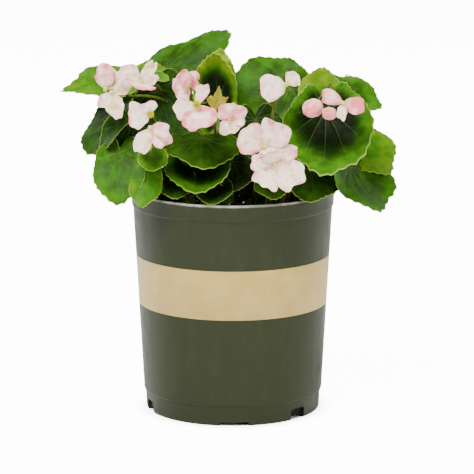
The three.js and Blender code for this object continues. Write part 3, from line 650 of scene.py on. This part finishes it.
def looseBits(kind, draw):
    bits, (flatY, flatZ) = [], kind["flat"]
    bpy.ops.mesh.primitive_ico_sphere_add(subdivisions=1, radius=1)
    first = bpy.context.object
    for vertex in first.data.vertices:
        vertex.co *= 0.75 + 0.5 * noise.noise(vertex.co * 2.3 + Vector((kind["slot"], 3, 1)))
    for k in range(kind["count"]):
        bit = addObject("bit", first.data.copy(), peat, perlite)
        reach, turn = (mixEdge - 4) * sqrt(draw.random()), draw.uniform(0, 2 * pi)
        x, y = reach * cos(turn), reach * sin(turn)
        length = kind["size"] * draw.uniform(0.5, 1.3)
        axis = (draw.gauss(0, 0.3), draw.gauss(0, 0.3), 1)
        spin = Quaternion(axis, draw.uniform(0, 6.28)).to_matrix().to_4x4()
        spot = Matrix.Translation(Vector((x, y, mixHeight(x, y) + 0.2 * length)) * mm)
        size = Matrix.Diagonal((length * mm, length * flatY * mm, length * flatZ * mm, 1))
        bit.data.transform(spot @ spin @ size)
        bit.data.polygons.foreach_set("material_index", [kind["slot"]] * len(bit.data.polygons))
        bits.append(bit)
    bpy.data.objects.remove(first)
    return bits


draw = random.Random(mix["seed"])
bits = looseBits(mix["chips"], draw) + looseBits(mix["grains"], draw)
finishPiece(joinPieces([mixPiece] + bits, "pottingMix"), "potting_mix")
print("potting mix crumbled")


# Blades: leaves and tepals are shaped from flat round blanks

def roundBlank(points, rings, crowd):
    # A crowd over 1 gathers the rings towards the edge.
    bpy.ops.mesh.primitive_circle_add(vertices=points, radius=1, fill_type="TRIFAN")
    blank = bpy.context.object
    shares = [1 - (1 - k / rings) ** crowd for k in range(1, rings + 1)]
    setMode("EDIT")
    bpy.ops.transform.resize(value=(shares[0], shares[0], 1), center_override=(0, 0, 0))
    bpy.ops.mesh.region_to_loop()
    for inner, outer in zip(shares, shares[1:]):
        bpy.ops.mesh.extrude_region_move()
        bpy.ops.transform.resize(value=(outer / inner, outer / inner, 1), center_override=(0, 0, 0))
    setMode("OBJECT")
    mesh = blank.data
    polar = [(atan2(v.co.y, v.co.x), min(1.0, v.co.xy.length)) for v in mesh.vertices]
    corners = [loop.vertex_index for loop in mesh.loops]
    bpy.data.objects.remove(blank)
    return {"mesh": mesh, "polar": polar, "corners": corners}


def shapedBlade(blank, surface, place, toneAndShadeAt):
    # From an angle and a share of the way out, surface gives a point in mm and its place on the chart.
    mesh = blank["mesh"].copy()
    spots, flat = [], []
    for angle, share in blank["polar"]:
        spot, chart = surface(angle, share)
        spots.extend((place @ spot) * mm)
        flat.append(chart)
    mesh.vertices.foreach_set("co", spots)
    for layer in list(mesh.uv_layers):
        mesh.uv_layers.remove(layer)
    chartLayer = mesh.uv_layers.new(name="blade")
    chartLayer.data.foreach_set("uv", [value for corner in blank["corners"] for value in flat[corner]])
    setValues(mesh, "share", [share for angle, share in blank["polar"]])
    setValues(mesh, "tone", [toneAndShadeAt(angle, share) for angle, share in blank["polar"]])
    smoothAll(mesh)
    return addObject("blade", mesh)


def frameMatrix(x, y, z, origin):
    turned = Matrix((x, y, z)).transposed().to_4x4()
    turned.translation = origin
    return turned


def direction(heading, pitch):
    h, p = radians(heading), radians(pitch)
    return Vector((cos(p) * cos(h), cos(p) * sin(h), sin(p)))


def facing(way, turn=0):
    above = (up - way * way.z).normalized()
    above.rotate(Quaternion(way, radians(turn)))
    return above


leaf = {
    "thickness": 0.5, "veinSink": 0.4, "veinSpread": 1.6, "pucker": 0.4,  # mm
    "hair": 0.9, "hairGirth": 0.07,  # mm, the soft hairs of the margin
    "tooth": 0.022, "fineTooth": 0.045, "ragged": 0.03, "wave": 0.05, "skew": 0.07,  # shares of its size
    "fineTeeth": 36, "waveTurn": 0.1,
    "bigFrom": 37, "bigBlank": (120, 18, 1.25), "smallBlank": (90, 12, 1.25),
    "usual": {"start": 0.98, "broad": 1, "cup": 0.12, "fold": 0, "droop": 10, "roll": 0},
}


def leafRow(base, heading, pitch, long, tone, **shape):
    # The foot of the blade, where it points, its length, and how bright it is in its middle and at its edge,
    # brightness that is partly painted shade.
    row = {**leaf["usual"], "base": Vector(base), "long": long, "tone": tone, **shape}
    along = direction(heading, pitch)
    above = facing(along, row["roll"])
    row["along"], row["above"] = along, above
    row["place"] = frameMatrix(along, above.cross(along), above, row["base"])
    row["teeth"] = 10 if long > 55 else 8
    return row


def leafReach(angle):
    # The outline: how far the blade reaches at an angle, as a share of its length, with tip and notch.
    turn = atan2(sin(angle), cos(angle))
    rounded = 0.6 + 0.26 * cos(turn) + 0.07 * cos(2 * turn)
    tip = 0.035 * exp(-((turn / 0.25) ** 2))
    notch = 1 - 0.78 * exp(-(((pi - abs(turn)) / 0.33) ** 2))
    return (rounded + tip) * notch * (1 + leaf["skew"] * sin(turn))


def leafSurface(row):
    long, base, fan = row["long"], row["base"], leafLook["veinFan"]
    droop = radians(row["droop"])
    radius, phase = long / droop, leaf["waveTurn"] * base.x

    def surface(angle, share):
        crenate = 1 + leaf["tooth"] * cos(row["teeth"] * angle) * share ** 3
        saw = abs(sin(0.5 * leaf["fineTeeth"] * angle + sin(2 * angle + phase)))
        crenate -= leaf["fineTooth"] * saw * share ** 8
        around = Vector((3 * cos(angle), 3 * sin(angle), phase))
        crenate += leaf["ragged"] * noise.noise(around) * share ** 4
        reach = long * leafReach(angle) * share * crenate
        along, across = reach * cos(angle), reach * sin(angle) * row["broad"]
        out = (along ** 2 + across ** 2) / long ** 2
        ripple = leaf["wave"] * long * sin(5 * angle + phase) * share ** 3
        rise = long * row["cup"] * out + row["fold"] * sqrt(across ** 2 + 4) + ripple
        # the blade sinks along its main veins and bulges between them
        curved = angle + leafLook["veinCurve"] * sin(angle) * reach / long
        off = abs((curved + fan) % (2 * fan) - fan) * reach
        sunk = leaf["veinSink"] * exp(-((off / leaf["veinSpread"]) ** 2))
        rise -= sunk * (1 - share ** 2) * min(1, share * 4)
        rise += leaf["pucker"] * noise.noise(Vector((along, across, 0)) * 0.22 + base) * (1 - share ** 6)
        bend = along / long * droop
        spot = Vector(((radius + rise) * sin(bend), across, (radius + rise) * cos(bend) - radius))
        return spot, (along / long, across / long / row["broad"])

    return surface


def leafBlade(row, blanks):
    middle, edge = row["tone"]

    def toneAndShadeAt(angle, share):
        # painted shade: the middle of the blade is darker than its edge, most in the cupped ones
        rise = min(1, max(0, (share - 0.45) / 0.45))
        return middle + (edge - middle) * rise ** 2 * (3 - 2 * rise)

    blank = blanks[0] if row["long"] > leaf["bigFrom"] else blanks[1]
    return shapedBlade(blank, leafSurface(row), row["place"], toneAndShadeAt)


def marginHairs(row):
    # Soft hairs stand out from the teeth of the margin, each a slim three-sided spike.
    surface, place = leafSurface(row), row["place"]
    corners, faces, count = [], [], 3 * row["teeth"]
    spike = ((0, 1, 3), (1, 2, 3), (2, 0, 3), (0, 2, 1))
    for k in range(count):
        angle = 2 * pi * (k + 0.5) / count
        rim, inner = place @ surface(angle, 1.0)[0], place @ surface(angle, 0.96)[0]
        aside = place @ surface(angle + 0.02, 1.0)[0]
        out = (rim - inner).normalized()
        side = (aside - rim).normalized() * leaf["hairGirth"]
        over = out.cross(side).normalized() * leaf["hairGirth"]
        first, foot = len(corners), rim - out * 0.2
        tip = rim + out * leaf["hair"] * (0.6 + 0.4 * sin(7 * k))
        corners += [spot * mm for spot in (foot + side, foot - side, foot + over, tip)]
        faces += [[first + corner for corner in face] for face in spike]
    mesh = bpy.data.meshes.new("marginHairs")
    mesh.from_pydata(corners, [], faces)
    return addObject("marginHairs", mesh, stemSkin)


def bezier(points, count):
    spots = []
    for k in range(count + 1):
        row = list(points)
        while len(row) > 1:
            row = [a.lerp(b, k / count) for a, b in zip(row, row[1:])]
        spots.append(row[0])
    return spots


def stalks(paths, name, skin):
    # All the stalks of a stem are one bevelled curve, thicker where each starts and at its joints.
    curve = bpy.data.curves.new(name, "CURVE")
    curve.dimensions = "3D"
    curve.bevel_depth = 1
    curve.bevel_resolution = 2
    curve.use_fill_caps = True
    for spots, radii in paths:
        spline = curve.splines.new("POLY")
        spline.points.add(len(spots) - 1)
        for point, spot, radius in zip(spline.points, spots, radii):
            point.co = (*(spot * mm), 1)
            point.radius = radius * mm
    selectPieces([addObject(name, curve)])
    bpy.ops.object.convert(target="MESH")
    tubes = bpy.context.object
    smoothAll(tubes.data)
    tubes.data.materials.clear()
    tubes.data.materials.append(skin)
    return tubes


# Blooms, in mm

tepal = {
    "thickness": 0.45, "frill": 0.03, "notch": 0.03, "heart": 2.4, "flare": 0.45,
    "lobes": 0.24, "crumple": 2.2, "crease": 0.5,  # shares of the outline, mm of height and steps of blush
    "blank": (44, 8, 1.15), "usual": {"cup": 0.1, "point": 0, "ruffle": 0.03, "phase": 0},
}
ovary = {"wing": 0.55, "girth": 0.85, "length": 1.15}
bud = {"across": 6, "along": 6.5, "deep": 5, "seam": 0.05, "seamWidth": 0.12, "narrow": 0.12}
stamen = {"radius": 2.8, "anthers": 46, "length": 1.5, "width": 0.6, "cap": 1.55}
goldenAngle = 2.39996  # radians


def tepalRow(at, opening, long, wide, **shape):
    # Its angle round the bloom's axis, its opening from it, its length and its width.
    turns = {"at": radians(at), "open": radians(opening)}
    return {**tepal["usual"], **turns, "long": long, "wide": wide, **shape}


kinds = {
    "open": [
        tepalRow(95, 76, 15, 18, cup=0.2), tepalRow(215, 76, 15, 19, cup=0.2),
        tepalRow(325, 72, 12, 11, cup=0.2), tepalRow(20, 66, 12, 8, cup=0.2),
    ],
    "ruffled": [
        tepalRow(85, 76, 14, 19, cup=0.2, ruffle=0.05), tepalRow(262, 76, 14, 19, cup=0.2, ruffle=0.05),
        tepalRow(172, 60, 12, 14, cup=0.3, ruffle=0.06),
        tepalRow(8, 60, 12, 14, cup=0.3, ruffle=0.06, phase=2),
    ],
}


def bloomRow(kind, heart, blush, heading=-90, pitch=10, size=1, tepals=None):
    axis = direction(heading, pitch)
    above = facing(axis)
    return {
        "kind": kind, "heart": Vector(heart), "blush": blush, "size": size,
        "tepals": tepals or kinds.get(kind), "frame": (axis, above.cross(axis), above),
    }


def foldAt(lengthwise, across, seedValue):
    spot = Vector((lengthwise * 0.15, across * 0.19, seedValue))
    return noise.noise(spot) + 0.35 * noise.noise(spot * 2.6)


def tepalSurface(row, seedValue):
    long, wide, cup = row["long"], row["wide"], row["cup"]

    def surface(angle, share):
        s = 0.5 + 0.5 * cos(angle) * share
        around = Vector((1.5 * cos(angle), 1.5 * sin(angle), 3 * seedValue))
        lobes = 1 + tepal["lobes"] * noise.noise(around) * share ** 3
        across = 0.5 * wide * sin(angle) * share * lobes
        across *= 1.3 - tepal["flare"] * (1 - s)
        across *= 1 - row["point"] * s ** 3
        lengthwise = long * s * (1 - tepal["notch"] * exp(-((across / wide / 0.12) ** 2)) * s ** 4)
        lengthwise *= 1 + (lobes - 1) * s
        hollow = cup * wide * (2 * across / wide) ** 2 * 0.5 + cup * long * s * s * 0.6
        ripple = row["ruffle"] * long * sin(3 * angle + row["phase"]) * share
        frill = tepal["frill"] * long * sin(8 * angle + seedValue) * share ** 4 * s
        crumple = tepal["crumple"] * foldAt(lengthwise, across, seedValue) * s * min(1, wide / 14)
        return Vector((lengthwise, across, hollow + ripple + frill + crumple)), (s, 2 * across / wide)

    return surface


def shapedBall(segments, rings, shape, place, skin):
    # Each point of a round ball goes through shape, and the ball is set in its place in mm.
    bpy.ops.mesh.primitive_uv_sphere_add(segments=segments, ring_count=rings, radius=1)
    ball = bpy.context.object
    for vertex in ball.data.vertices:
        vertex.co = shape(*vertex.co)
    ball.data.transform(place)
    ball.data.transform(Matrix.Scale(mm, 4))
    smoothAll(ball.data)
    ball.data.materials.append(skin)
    return ball


def heartBody(row, skin):
    # The seat of the tepals, with the three-winged ovary behind it.
    axis, right, above = row["frame"]

    def shape(x, y, z):
        wing = 1 + ovary["wing"] * max(0.0, -z) * max(0.0, cos(3 * atan2(y, x))) ** 3
        spot = Vector((x * wing, y * wing, z * ovary["length"]))
        return spot * ovary["girth"] * tepal["heart"] * row["size"]

    body = shapedBall(24, 12, shape, frameMatrix(right, above, axis, row["heart"]), skin)
    setValues(body.data, "tone", [1.0] * len(body.data.vertices))
    return body


def openBloom(row, blank, number):
    axis, right, above = row["frame"]
    size, blades = row["size"], []
    skin = sproutSkin if row["kind"] == "sprout" else tepalSkin
    for index, petal in enumerate(row["tepals"]):
        at, opening = petal["at"], petal["open"]
        radial = right * cos(at) + above * sin(at)
        along = axis * cos(opening) + radial * sin(opening)
        inward = axis * sin(opening) - radial * cos(opening)
        foot = row["heart"] + along * tepal["heart"] * size * 0.4
        place = frameMatrix(along, inward.cross(along), inward, foot) @ Matrix.Scale(size, 4)
        blush = row["blush"] + petal.get("blush", 0.06 * sin(2.4 * index + number))
        seedValue = number + 1.7 * index

        def toneAndShadeAt(angle, share):
            s, aside = 0.5 + 0.5 * cos(angle) * share, 0.5 * sin(angle) * share
            # painted shade in the folds: the blush shifts with the same noise that crumples the tepal
            return blush - tepal["crease"] * foldAt(petal["long"] * s, petal["wide"] * aside, seedValue)

        blades.append(shapedBlade(blank, tepalSurface(petal, seedValue), place, toneAndShadeAt))
    bloom = joinPieces(blades, "tepals")
    applyModifier(bloom, "SOLIDIFY", thickness=tepal["thickness"] * mm, offset=0)
    bloom.data.materials.append(skin)
    return joinPieces([bloom, heartBody(row, skin)], "bloom")


def closedBud(row):
    # Two tepals folded shut edge to edge, with the seam between them.
    axis, right, above = row["frame"]
    size, tones = row["size"], []

    def shape(x, y, z):
        seam = exp(-((z / bud["seamWidth"]) ** 2)) * (0.35 + 0.65 * abs(x))
        swell = 1 - bud["seam"] * seam + 0.02 * sin(9 * x + 2)
        narrow = 1 - bud["narrow"] * max(0.0, y) ** 2
        tones.append(row["blush"] + 0.15 * y + 0.12 * seam)
        spot = Vector((x * bud["across"] * narrow, y * bud["along"], z * bud["deep"] * narrow))
        return spot * size * swell * 0.99

    centre = row["heart"] + axis * size * (bud["along"] - tepal["heart"])
    closed = shapedBall(40, 24, shape, frameMatrix(right, axis, -above, centre), tepalSkin)
    setValues(closed.data, "tone", tones)
    setValues(closed.data, "share", [0.5] * len(tones))
    closed.data.uv_layers[0].name = "blade"
    return closed


def stamenTuft(row, number):
    # Anthers by the golden angle over a dome, each on its own filament.
    axis, right, above = row["frame"]
    centre = row["heart"] + axis * (tepal["heart"] * row["size"] + 0.3 + stamen["radius"])
    bpy.ops.mesh.primitive_uv_sphere_add(segments=8, ring_count=6, radius=0.5)
    first = bpy.context.object
    anthers, filaments = [], []
    for k in range(stamen["anthers"]):
        height = 1 - stamen["cap"] * (k + 0.5) / stamen["anthers"]
        ring, turn = sqrt(1 - height ** 2), goldenAngle * k
        way = axis * height + (right * cos(turn) + above * sin(turn)) * ring
        spot = centre + way * (stamen["radius"] - 0.35)
        side = way.cross(axis + right * 0.3).normalized()
        mesh = first.data.copy()
        mesh.transform(Matrix.Diagonal((stamen["width"], stamen["width"], stamen["length"], 1)))
        mesh.transform(frameMatrix(side, way.cross(side), way, spot))
        mesh.transform(Matrix.Scale(mm, 4))
        anthers.append(addObject("anther", mesh, pollen))
        filaments.append((bezier([centre - axis * 1.7, centre - axis * 0.4, spot], 3), [0.1] * 4))
    bpy.data.objects.remove(first)
    tuft = joinPieces(anthers + [stalks(filaments, "filaments", pollen)], "stamens%02d" % number)
    smoothAll(tuft.data)
    finishPiece(tuft, "stamens_%02d" % number)


# The plant: each leafy stem with its leaves and its spray of blooms. start is how far up the stem a leaf
# or the spray starts, and by is a point on the spray's way to its knot.

stems = [
    dict(name="leafy_stem_left", root=(-30, -20), top=(-58, -36, 214),
         start=0.97, knot=(-57, -60, 246), leaves=[
        leafRow((-90, -46, 217), -96, -58, 45, (0.5, 0.58), start=0.75, broad=0.8, cup=0.1),
        leafRow((-68, -58, 203), -100, -50, 32, (0.62, 0.7), start=0.6, broad=0.7),
        leafRow((-64.5, -60, 219.5), -84, -40, 24, (0.4, 0.72), start=0.9, broad=0.86, cup=0.45),
        leafRow((-93, -18, 246), 215, -50, 44, (0.24, 0.4), start=0.95),
        leafRow((-82, -32, 238), -100, -68, 42, (0.16, 0.28)),
    ], blooms=[
        bloomRow("open", (-64, -82, 254.5), 0.38, tepals=[
            tepalRow(188, 80, 17.5, 18.5, cup=0.12, blush=0),
            tepalRow(108, 84, 9.5, 13, cup=0.12, blush=0.02),
        ]),
        bloomRow("ruffled", (-64, -89, 245), 0.38, tepals=[
            tepalRow(243, 84, 23, 13, cup=-0.1, point=0.3, blush=-0.08),
            tepalRow(318, 82, 18, 15, ruffle=0.04, blush=0.12),
            tepalRow(350, 72, 16, 12, cup=0.2, ruffle=0.05, blush=0.05),
        ]),
    ]),
    dict(name="leafy_stem_left_high", root=(-20, 6), top=(-50, 0, 252),
         start=0.98, knot=(-78, -34, 261), leaves=[
        leafRow((-74, -4, 273), 182, -10, 66, (0.6, 0.72), start=0.95, roll=-22, broad=0.6),
        leafRow((-58, 14, 273.5), 5, 26, 66, (0.42, 0.56), droop=9, roll=42, broad=0.56, fold=-0.25),
        leafRow((-62, -2, 261), -92, -76, 52, (0.3, 0.38), start=0.85),
    ], blooms=[
        bloomRow("ruffled", (-100, -50, 269), 0.35, tepals=[
            tepalRow(92, 80, 18, 14.5, cup=0.12, blush=0.25), tepalRow(58, 96, 17, 13, blush=-0.25),
        ]),
        bloomRow("ruffled", (-95, -58, 268), 0.24, tepals=[
            tepalRow(285, 80, 21, 14, point=0.5, blush=-0.1),
            tepalRow(238, 84, 14, 12, ruffle=0.05, blush=0.1), tepalRow(22, 85, 15, 10, blush=-0.2),
        ]),
        bloomRow("ruffled", (-72, -62, 277), 0.38, tepals=[
            tepalRow(150, 82, 18, 15, blush=-0.05),
            tepalRow(55, 85, 20, 10, point=0.4, ruffle=0.06, blush=-0.2),
            tepalRow(15, 75, 13, 9, blush=-0.15), tepalRow(255, 32, 13, 22, cup=0.25, blush=0.25),
        ]),
    ]),
    dict(name="leafy_stem_front", root=(-6, -26), top=(-14, -30, 224),
         start=0.98, knot=(-15, -54, 261), leaves=[
        leafRow((-25, -38, 228), -90, -14, 46, (0.34, 0.46), broad=1.14, cup=-0.05),
        leafRow((-28.5, -38, 213), -92, -50, 42, (0.0, 0.6), start=0.85, cup=0.6, broad=1.06),
        leafRow((-45.8, -48, 202.3), -92, -48, 27, (0.05, 0.45), start=0.6, cup=0.2),
        leafRow((-1, -41, 210), -84, -54, 28, (0.02, 0.16), start=0.8),
        leafRow((-13, -11, 242), 86, 82, 55, (-0.3, 0.86), start=0.85, broad=0.56, cup=0.4, droop=-8),
        leafRow((-10, -3, 258), 78, 83, 37, (0.72, 0.9), start=0.9, broad=0.62, cup=0.2),
        leafRow((-16, -52, 193), -92, -34, 27, (0.02, 0.3), start=0.5, cup=0.3),
    ], blooms=[
        bloomRow("ruffled", (-34, -68, 275), 0.66, size=0.88, tepals=[
            tepalRow(150, 74, 14, 19, cup=0.2, ruffle=0.06, blush=-0.05),
            tepalRow(212, 76, 15, 20, cup=0.2, ruffle=0.05, blush=-0.15),
            tepalRow(92, 70, 13.5, 18, cup=0.2, ruffle=0.07),
            tepalRow(28, 64, 9, 15, cup=0.25, ruffle=0.06, blush=0.1),
            tepalRow(120, 28, 7.5, 11, cup=0.3, ruffle=0.08, blush=0.12),
        ]),
        bloomRow("open", (-28, -82, 262), 0.38, tepals=[
            tepalRow(202, 78, 18.5, 15, cup=0.15, blush=-0.02),
            tepalRow(280, 66, 23, 26, cup=0.3, blush=0.28), tepalRow(66, 82, 17, 9, blush=0.05),
        ]),
        bloomRow("ruffled", (-1, -76, 250), 0.45, size=0.94, tepals=[
            tepalRow(120, 70, 13, 17, cup=0.2, ruffle=0.05),
            tepalRow(48, 72, 13.5, 15, cup=0.2, ruffle=0.05, blush=0.1),
            tepalRow(4, 66, 12, 12, cup=0.2, ruffle=0.06, blush=0.1),
            tepalRow(242, 74, 14, 13, ruffle=0.06, blush=-0.25),
            tepalRow(292, 72, 12.5, 12, ruffle=0.06, blush=-0.25),
            tepalRow(150, 30, 7, 9, cup=0.3, blush=0.22),
        ]),
        bloomRow("sprout", (-14, -60, 255), 0.5, tepals=[
            tepalRow(112, 62, 13, 6, point=0.6), tepalRow(78, 70, 17, 7, point=0.6),
            tepalRow(45, 64, 14, 6, point=0.6),
        ]),
    ]),
    dict(name="leafy_stem_centre", root=(16, -10), top=(30, -6, 240),
         start=0.85, by=(30, -30, 228), knot=(32, -42, 252), leaves=[
        leafRow((45.5, 9, 262), 178, -3, 53, (0.44, 0.58), roll=-50, cup=0.08),
        leafRow((18, -18, 239), -82, -66, 40, (0.18, 0.26), start=0.8),
        leafRow((29, -47, 197.5), -86, -32, 29, (0.25, 0.4), start=0.5, broad=0.8, cup=0.2),
        leafRow((41.5, -29, 234), -93, -66, 34, (0.2, 0.3), start=0.8),
    ], blooms=[
        bloomRow("ruffled", (42, -66, 275.5), 0.3, tepals=[
            tepalRow(193, 80, 20, 20.5, cup=-0.1, blush=0.1),
            tepalRow(42, 80, 11.5, 12, point=0.2, blush=-0.15),
        ]),
        bloomRow("ruffled", (25, -84, 229), 0.38, tepals=[
            tepalRow(152, 76, 21, 23, cup=0.15, blush=0.08), tepalRow(52, 78, 23, 23, cup=0.15, blush=0.04),
            tepalRow(358, 80, 23, 7, point=0.4, blush=-0.15), tepalRow(290, 62, 9, 13, cup=0.2, blush=0.0),
        ]),
        bloomRow("ruffled", (32, -92, 217), 0.36, tepals=[
            tepalRow(242, 82, 22, 19, cup=0.12, blush=0.0),
            tepalRow(325, 80, 26, 23, cup=0.15, blush=-0.02),
            tepalRow(175, 76, 18, 13, ruffle=0.05, blush=0.12),
            tepalRow(95, 48, 13, 20, cup=0.2, ruffle=0.06, blush=0.12),
            tepalRow(32, 78, 20, 9, ruffle=0.06, blush=0.05),
        ]),
    ]),
    dict(name="leafy_stem_right", root=(34, -20), top=(68, -28, 230),
         start=0.98, by=(72, -16, 255), knot=(77, -34, 271), leaves=[
        leafRow((74, -36, 250), -93, -62, 60.5, (-0.02, 0.64), cup=0.6),
        leafRow((70.5, -17, 251), 74, 74, 31, (0.7, 0.86)),
        leafRow((64, -44, 202), -94, -34, 37, (0.28, 0.4), start=0.6, broad=0.95),
        leafRow((93.5, -36, 205), -38, -50, 47, (0.42, 0.56), start=0.7, broad=1.22),
        leafRow((98, -8, 222), -20, -42, 42, (0.66, 0.76), start=0.9, roll=25),
        leafRow((86, 12, 259), -12, -24, 38, (0.42, 0.62), broad=0.8, roll=35),
    ], blooms=[
        bloomRow("bud", (64.7, -73, 261), 0.84, heading=-115, pitch=-25, size=1.4),
        bloomRow("bud", (75, -88, 257.5), 0.9, heading=-88, pitch=-10),
        bloomRow("ruffled", (86, -80, 263), 0.62, size=0.95, tepals=[
            tepalRow(154, 80, 19.5, 11, cup=-0.05, blush=0.05), tepalRow(350, 78, 18, 13.5, blush=0.25),
            tepalRow(262, 76, 14, 8.5, blush=-0.38),
        ]),
    ]),
    dict(name="leafy_stem_back_right", root=(26, 22), top=(56, 44, 238),
         start=0.98, knot=(72, 66, 240), leaves=[
        leafRow((76, 42, 253), 26, -14, 48, (0.5, 0.6)),
        leafRow((50, 68, 230), 68, -38, 48, (0.4, 0.55), start=0.9),
        leafRow((90, 24, 222), 12, -42, 44, (0.45, 0.55), start=0.8),
        leafRow((64, 56, 204), 42, -42, 40, (0.35, 0.5), start=0.65),
        leafRow((42, 34, 254), 42, -4, 40, (0.5, 0.62)),
    ], blooms=[
        bloomRow("open", (96, 86, 242), 0.3, heading=42, pitch=12, size=1.1),
        bloomRow("bud", (80, 92, 234), 0.6, heading=60, pitch=-40, size=1.1),
    ]),
    dict(name="leafy_stem_back", root=(-2, 34), top=(-2, 58, 244),
         start=0.98, knot=(0, 86, 241), leaves=[
        leafRow((2, 62, 258), 92, -14, 52, (0.45, 0.58)),
        leafRow((25, 70, 226), 78, -45, 40, (0.4, 0.52), start=0.85),
        leafRow((-17, 74, 228), 100, -42, 40, (0.5, 0.6), start=0.8),
        leafRow((-2, 66, 203), 92, -48, 36, (0.35, 0.45), start=0.6),
        leafRow((0, 38, 256), 96, -4, 42, (0.5, 0.64)),
    ], blooms=[
        bloomRow("ruffled", (12, 111, 238), 0.3, heading=80, pitch=12, size=1.1),
        bloomRow("bud", (-10, 110, 236), 0.65, heading=100, pitch=-40, size=1.1),
    ]),
    dict(name="leafy_stem_back_left", root=(-30, 26), top=(-60, 46, 234),
         start=0.98, knot=(-74, 66, 241), leaves=[
        leafRow((-66, 46, 254), 146, -14, 50, (0.48, 0.6)),
        leafRow((-65, 60, 224), 138, -42, 40, (0.4, 0.5), start=0.85),
        leafRow((-88, 24, 230), 168, -36, 42, (0.5, 0.62), start=0.9),
        leafRow((-62, 50, 206), 150, -46, 38, (0.35, 0.48), start=0.65),
        leafRow((-42, 30, 256), 140, -4, 38, (0.5, 0.62)),
    ], blooms=[
        bloomRow("open", (-98, 88, 242), 0.25, heading=138, pitch=12, size=1.1),
        bloomRow("bud", (-82, 94, 234), 0.6, heading=120, pitch=-40, size=1.1),
    ]),
]
stalk = {
    "stem": 3.4, "petiole": 1.35, "peduncle": 1.15, "pedicel": 0.75, "foot": 134.3, "joint": 0.16,  # mm
    "under": 0.8,  # how far a petiole's middle runs below its blade
    "steps": 48, "jointEvery": 8,  # points along a stem
}


def stemCurve(stem):
    (x, y), top, foot = stem["root"], Vector(stem["top"]), stalk["foot"]
    dx, dy, dz = top.x - x, top.y - y, top.z - foot
    return [
        Vector((x, y, foot)), Vector((x + 0.1 * dx, y + 0.1 * dy, foot + 0.45 * dz)),
        Vector((x + 0.5 * dx, y + 0.5 * dy, foot + 0.65 * dz)), top,
    ]


def taperedStalk(points, kind, start, loss, steps):
    # A stalk of its kind's radius times start, which thins by the share loss on its way.
    return bezier(points, steps), [stalk[kind] * (start - loss * k / steps) for k in range(steps + 1)]


def stalkPaths(stem):
    # The stem with its swollen joints, a petiole to each leaf and the flower stalks.
    steps = stalk["steps"]
    spots, girth = taperedStalk(stemCurve(stem), "stem", 0.96, 0.12, steps)
    for joint in range(stalk["jointEvery"], steps, stalk["jointEvery"]):
        girth[joint] *= 1 + stalk["joint"]
    paths = [(spots, girth)]
    for row in stem["leaves"]:
        start, base = spots[round(steps * row["start"])], row["base"] - row["above"] * stalk["under"]
        reach = (base - start).length
        rise = start.lerp(base, 0.35) + up * 0.12 * reach
        path = [start, rise, base - row["along"] * 0.3 * reach, base + row["along"] * 4]
        paths.append(taperedStalk(path, "petiole", 1.02, 0.3, 14))
    start, knot = spots[round(steps * stem["start"])], Vector(stem["knot"])
    way = Vector(stem["by"]) if "by" in stem else start.lerp(knot, 0.5) + up * 5
    paths.append(taperedStalk([start, way, knot], "peduncle", 1.0, 0.12, 12))
    for row in stem["blooms"]:
        axis = row["frame"][0]
        end = row["heart"] - axis * (tepal["heart"] * row["size"] - 0.4)
        bend = end - axis * 0.4 * (knot - end).length
        paths.append(taperedStalk([knot, bend, end], "pedicel", 0.95, 0, 10))
    return paths


def leafyStem(stem, blanks):
    leaves = joinPieces([leafBlade(row, blanks) for row in stem["leaves"]], "leaves")
    leaves.data.materials.append(leafTop)
    leaves.data.materials.append(leafBelow)
    applyModifier(leaves, "SOLIDIFY", thickness=leaf["thickness"] * mm, offset=0, material_offset=1)
    hairs = [marginHairs(row) for row in stem["leaves"]]
    name = "".join(word.capitalize() for word in stem["name"].split("_"))
    pieces = [leaves, stalks(stalkPaths(stem), "stalks", stemSkin)] + hairs
    finishPiece(joinPieces(pieces, name[0].lower() + name[1:]), stem["name"])


leafBlanks = [roundBlank(*leaf["bigBlank"]), roundBlank(*leaf["smallBlank"])]
tepalBlank = roundBlank(*tepal["blank"])
bloomNumber = 0
for stem in stems:
    leafyStem(stem, leafBlanks)
    for row in stem["blooms"]:
        bloomNumber += 1
        made = closedBud(row) if row["kind"] == "bud" else openBloom(row, tepalBlank, bloomNumber)
        made.name = "bloom%02d" % bloomNumber
        finishPiece(made, "bloom_%02d" % bloomNumber)
        if row["kind"] == "open":
            stamenTuft(row, bloomNumber)
    print(stem["name"], "grown")
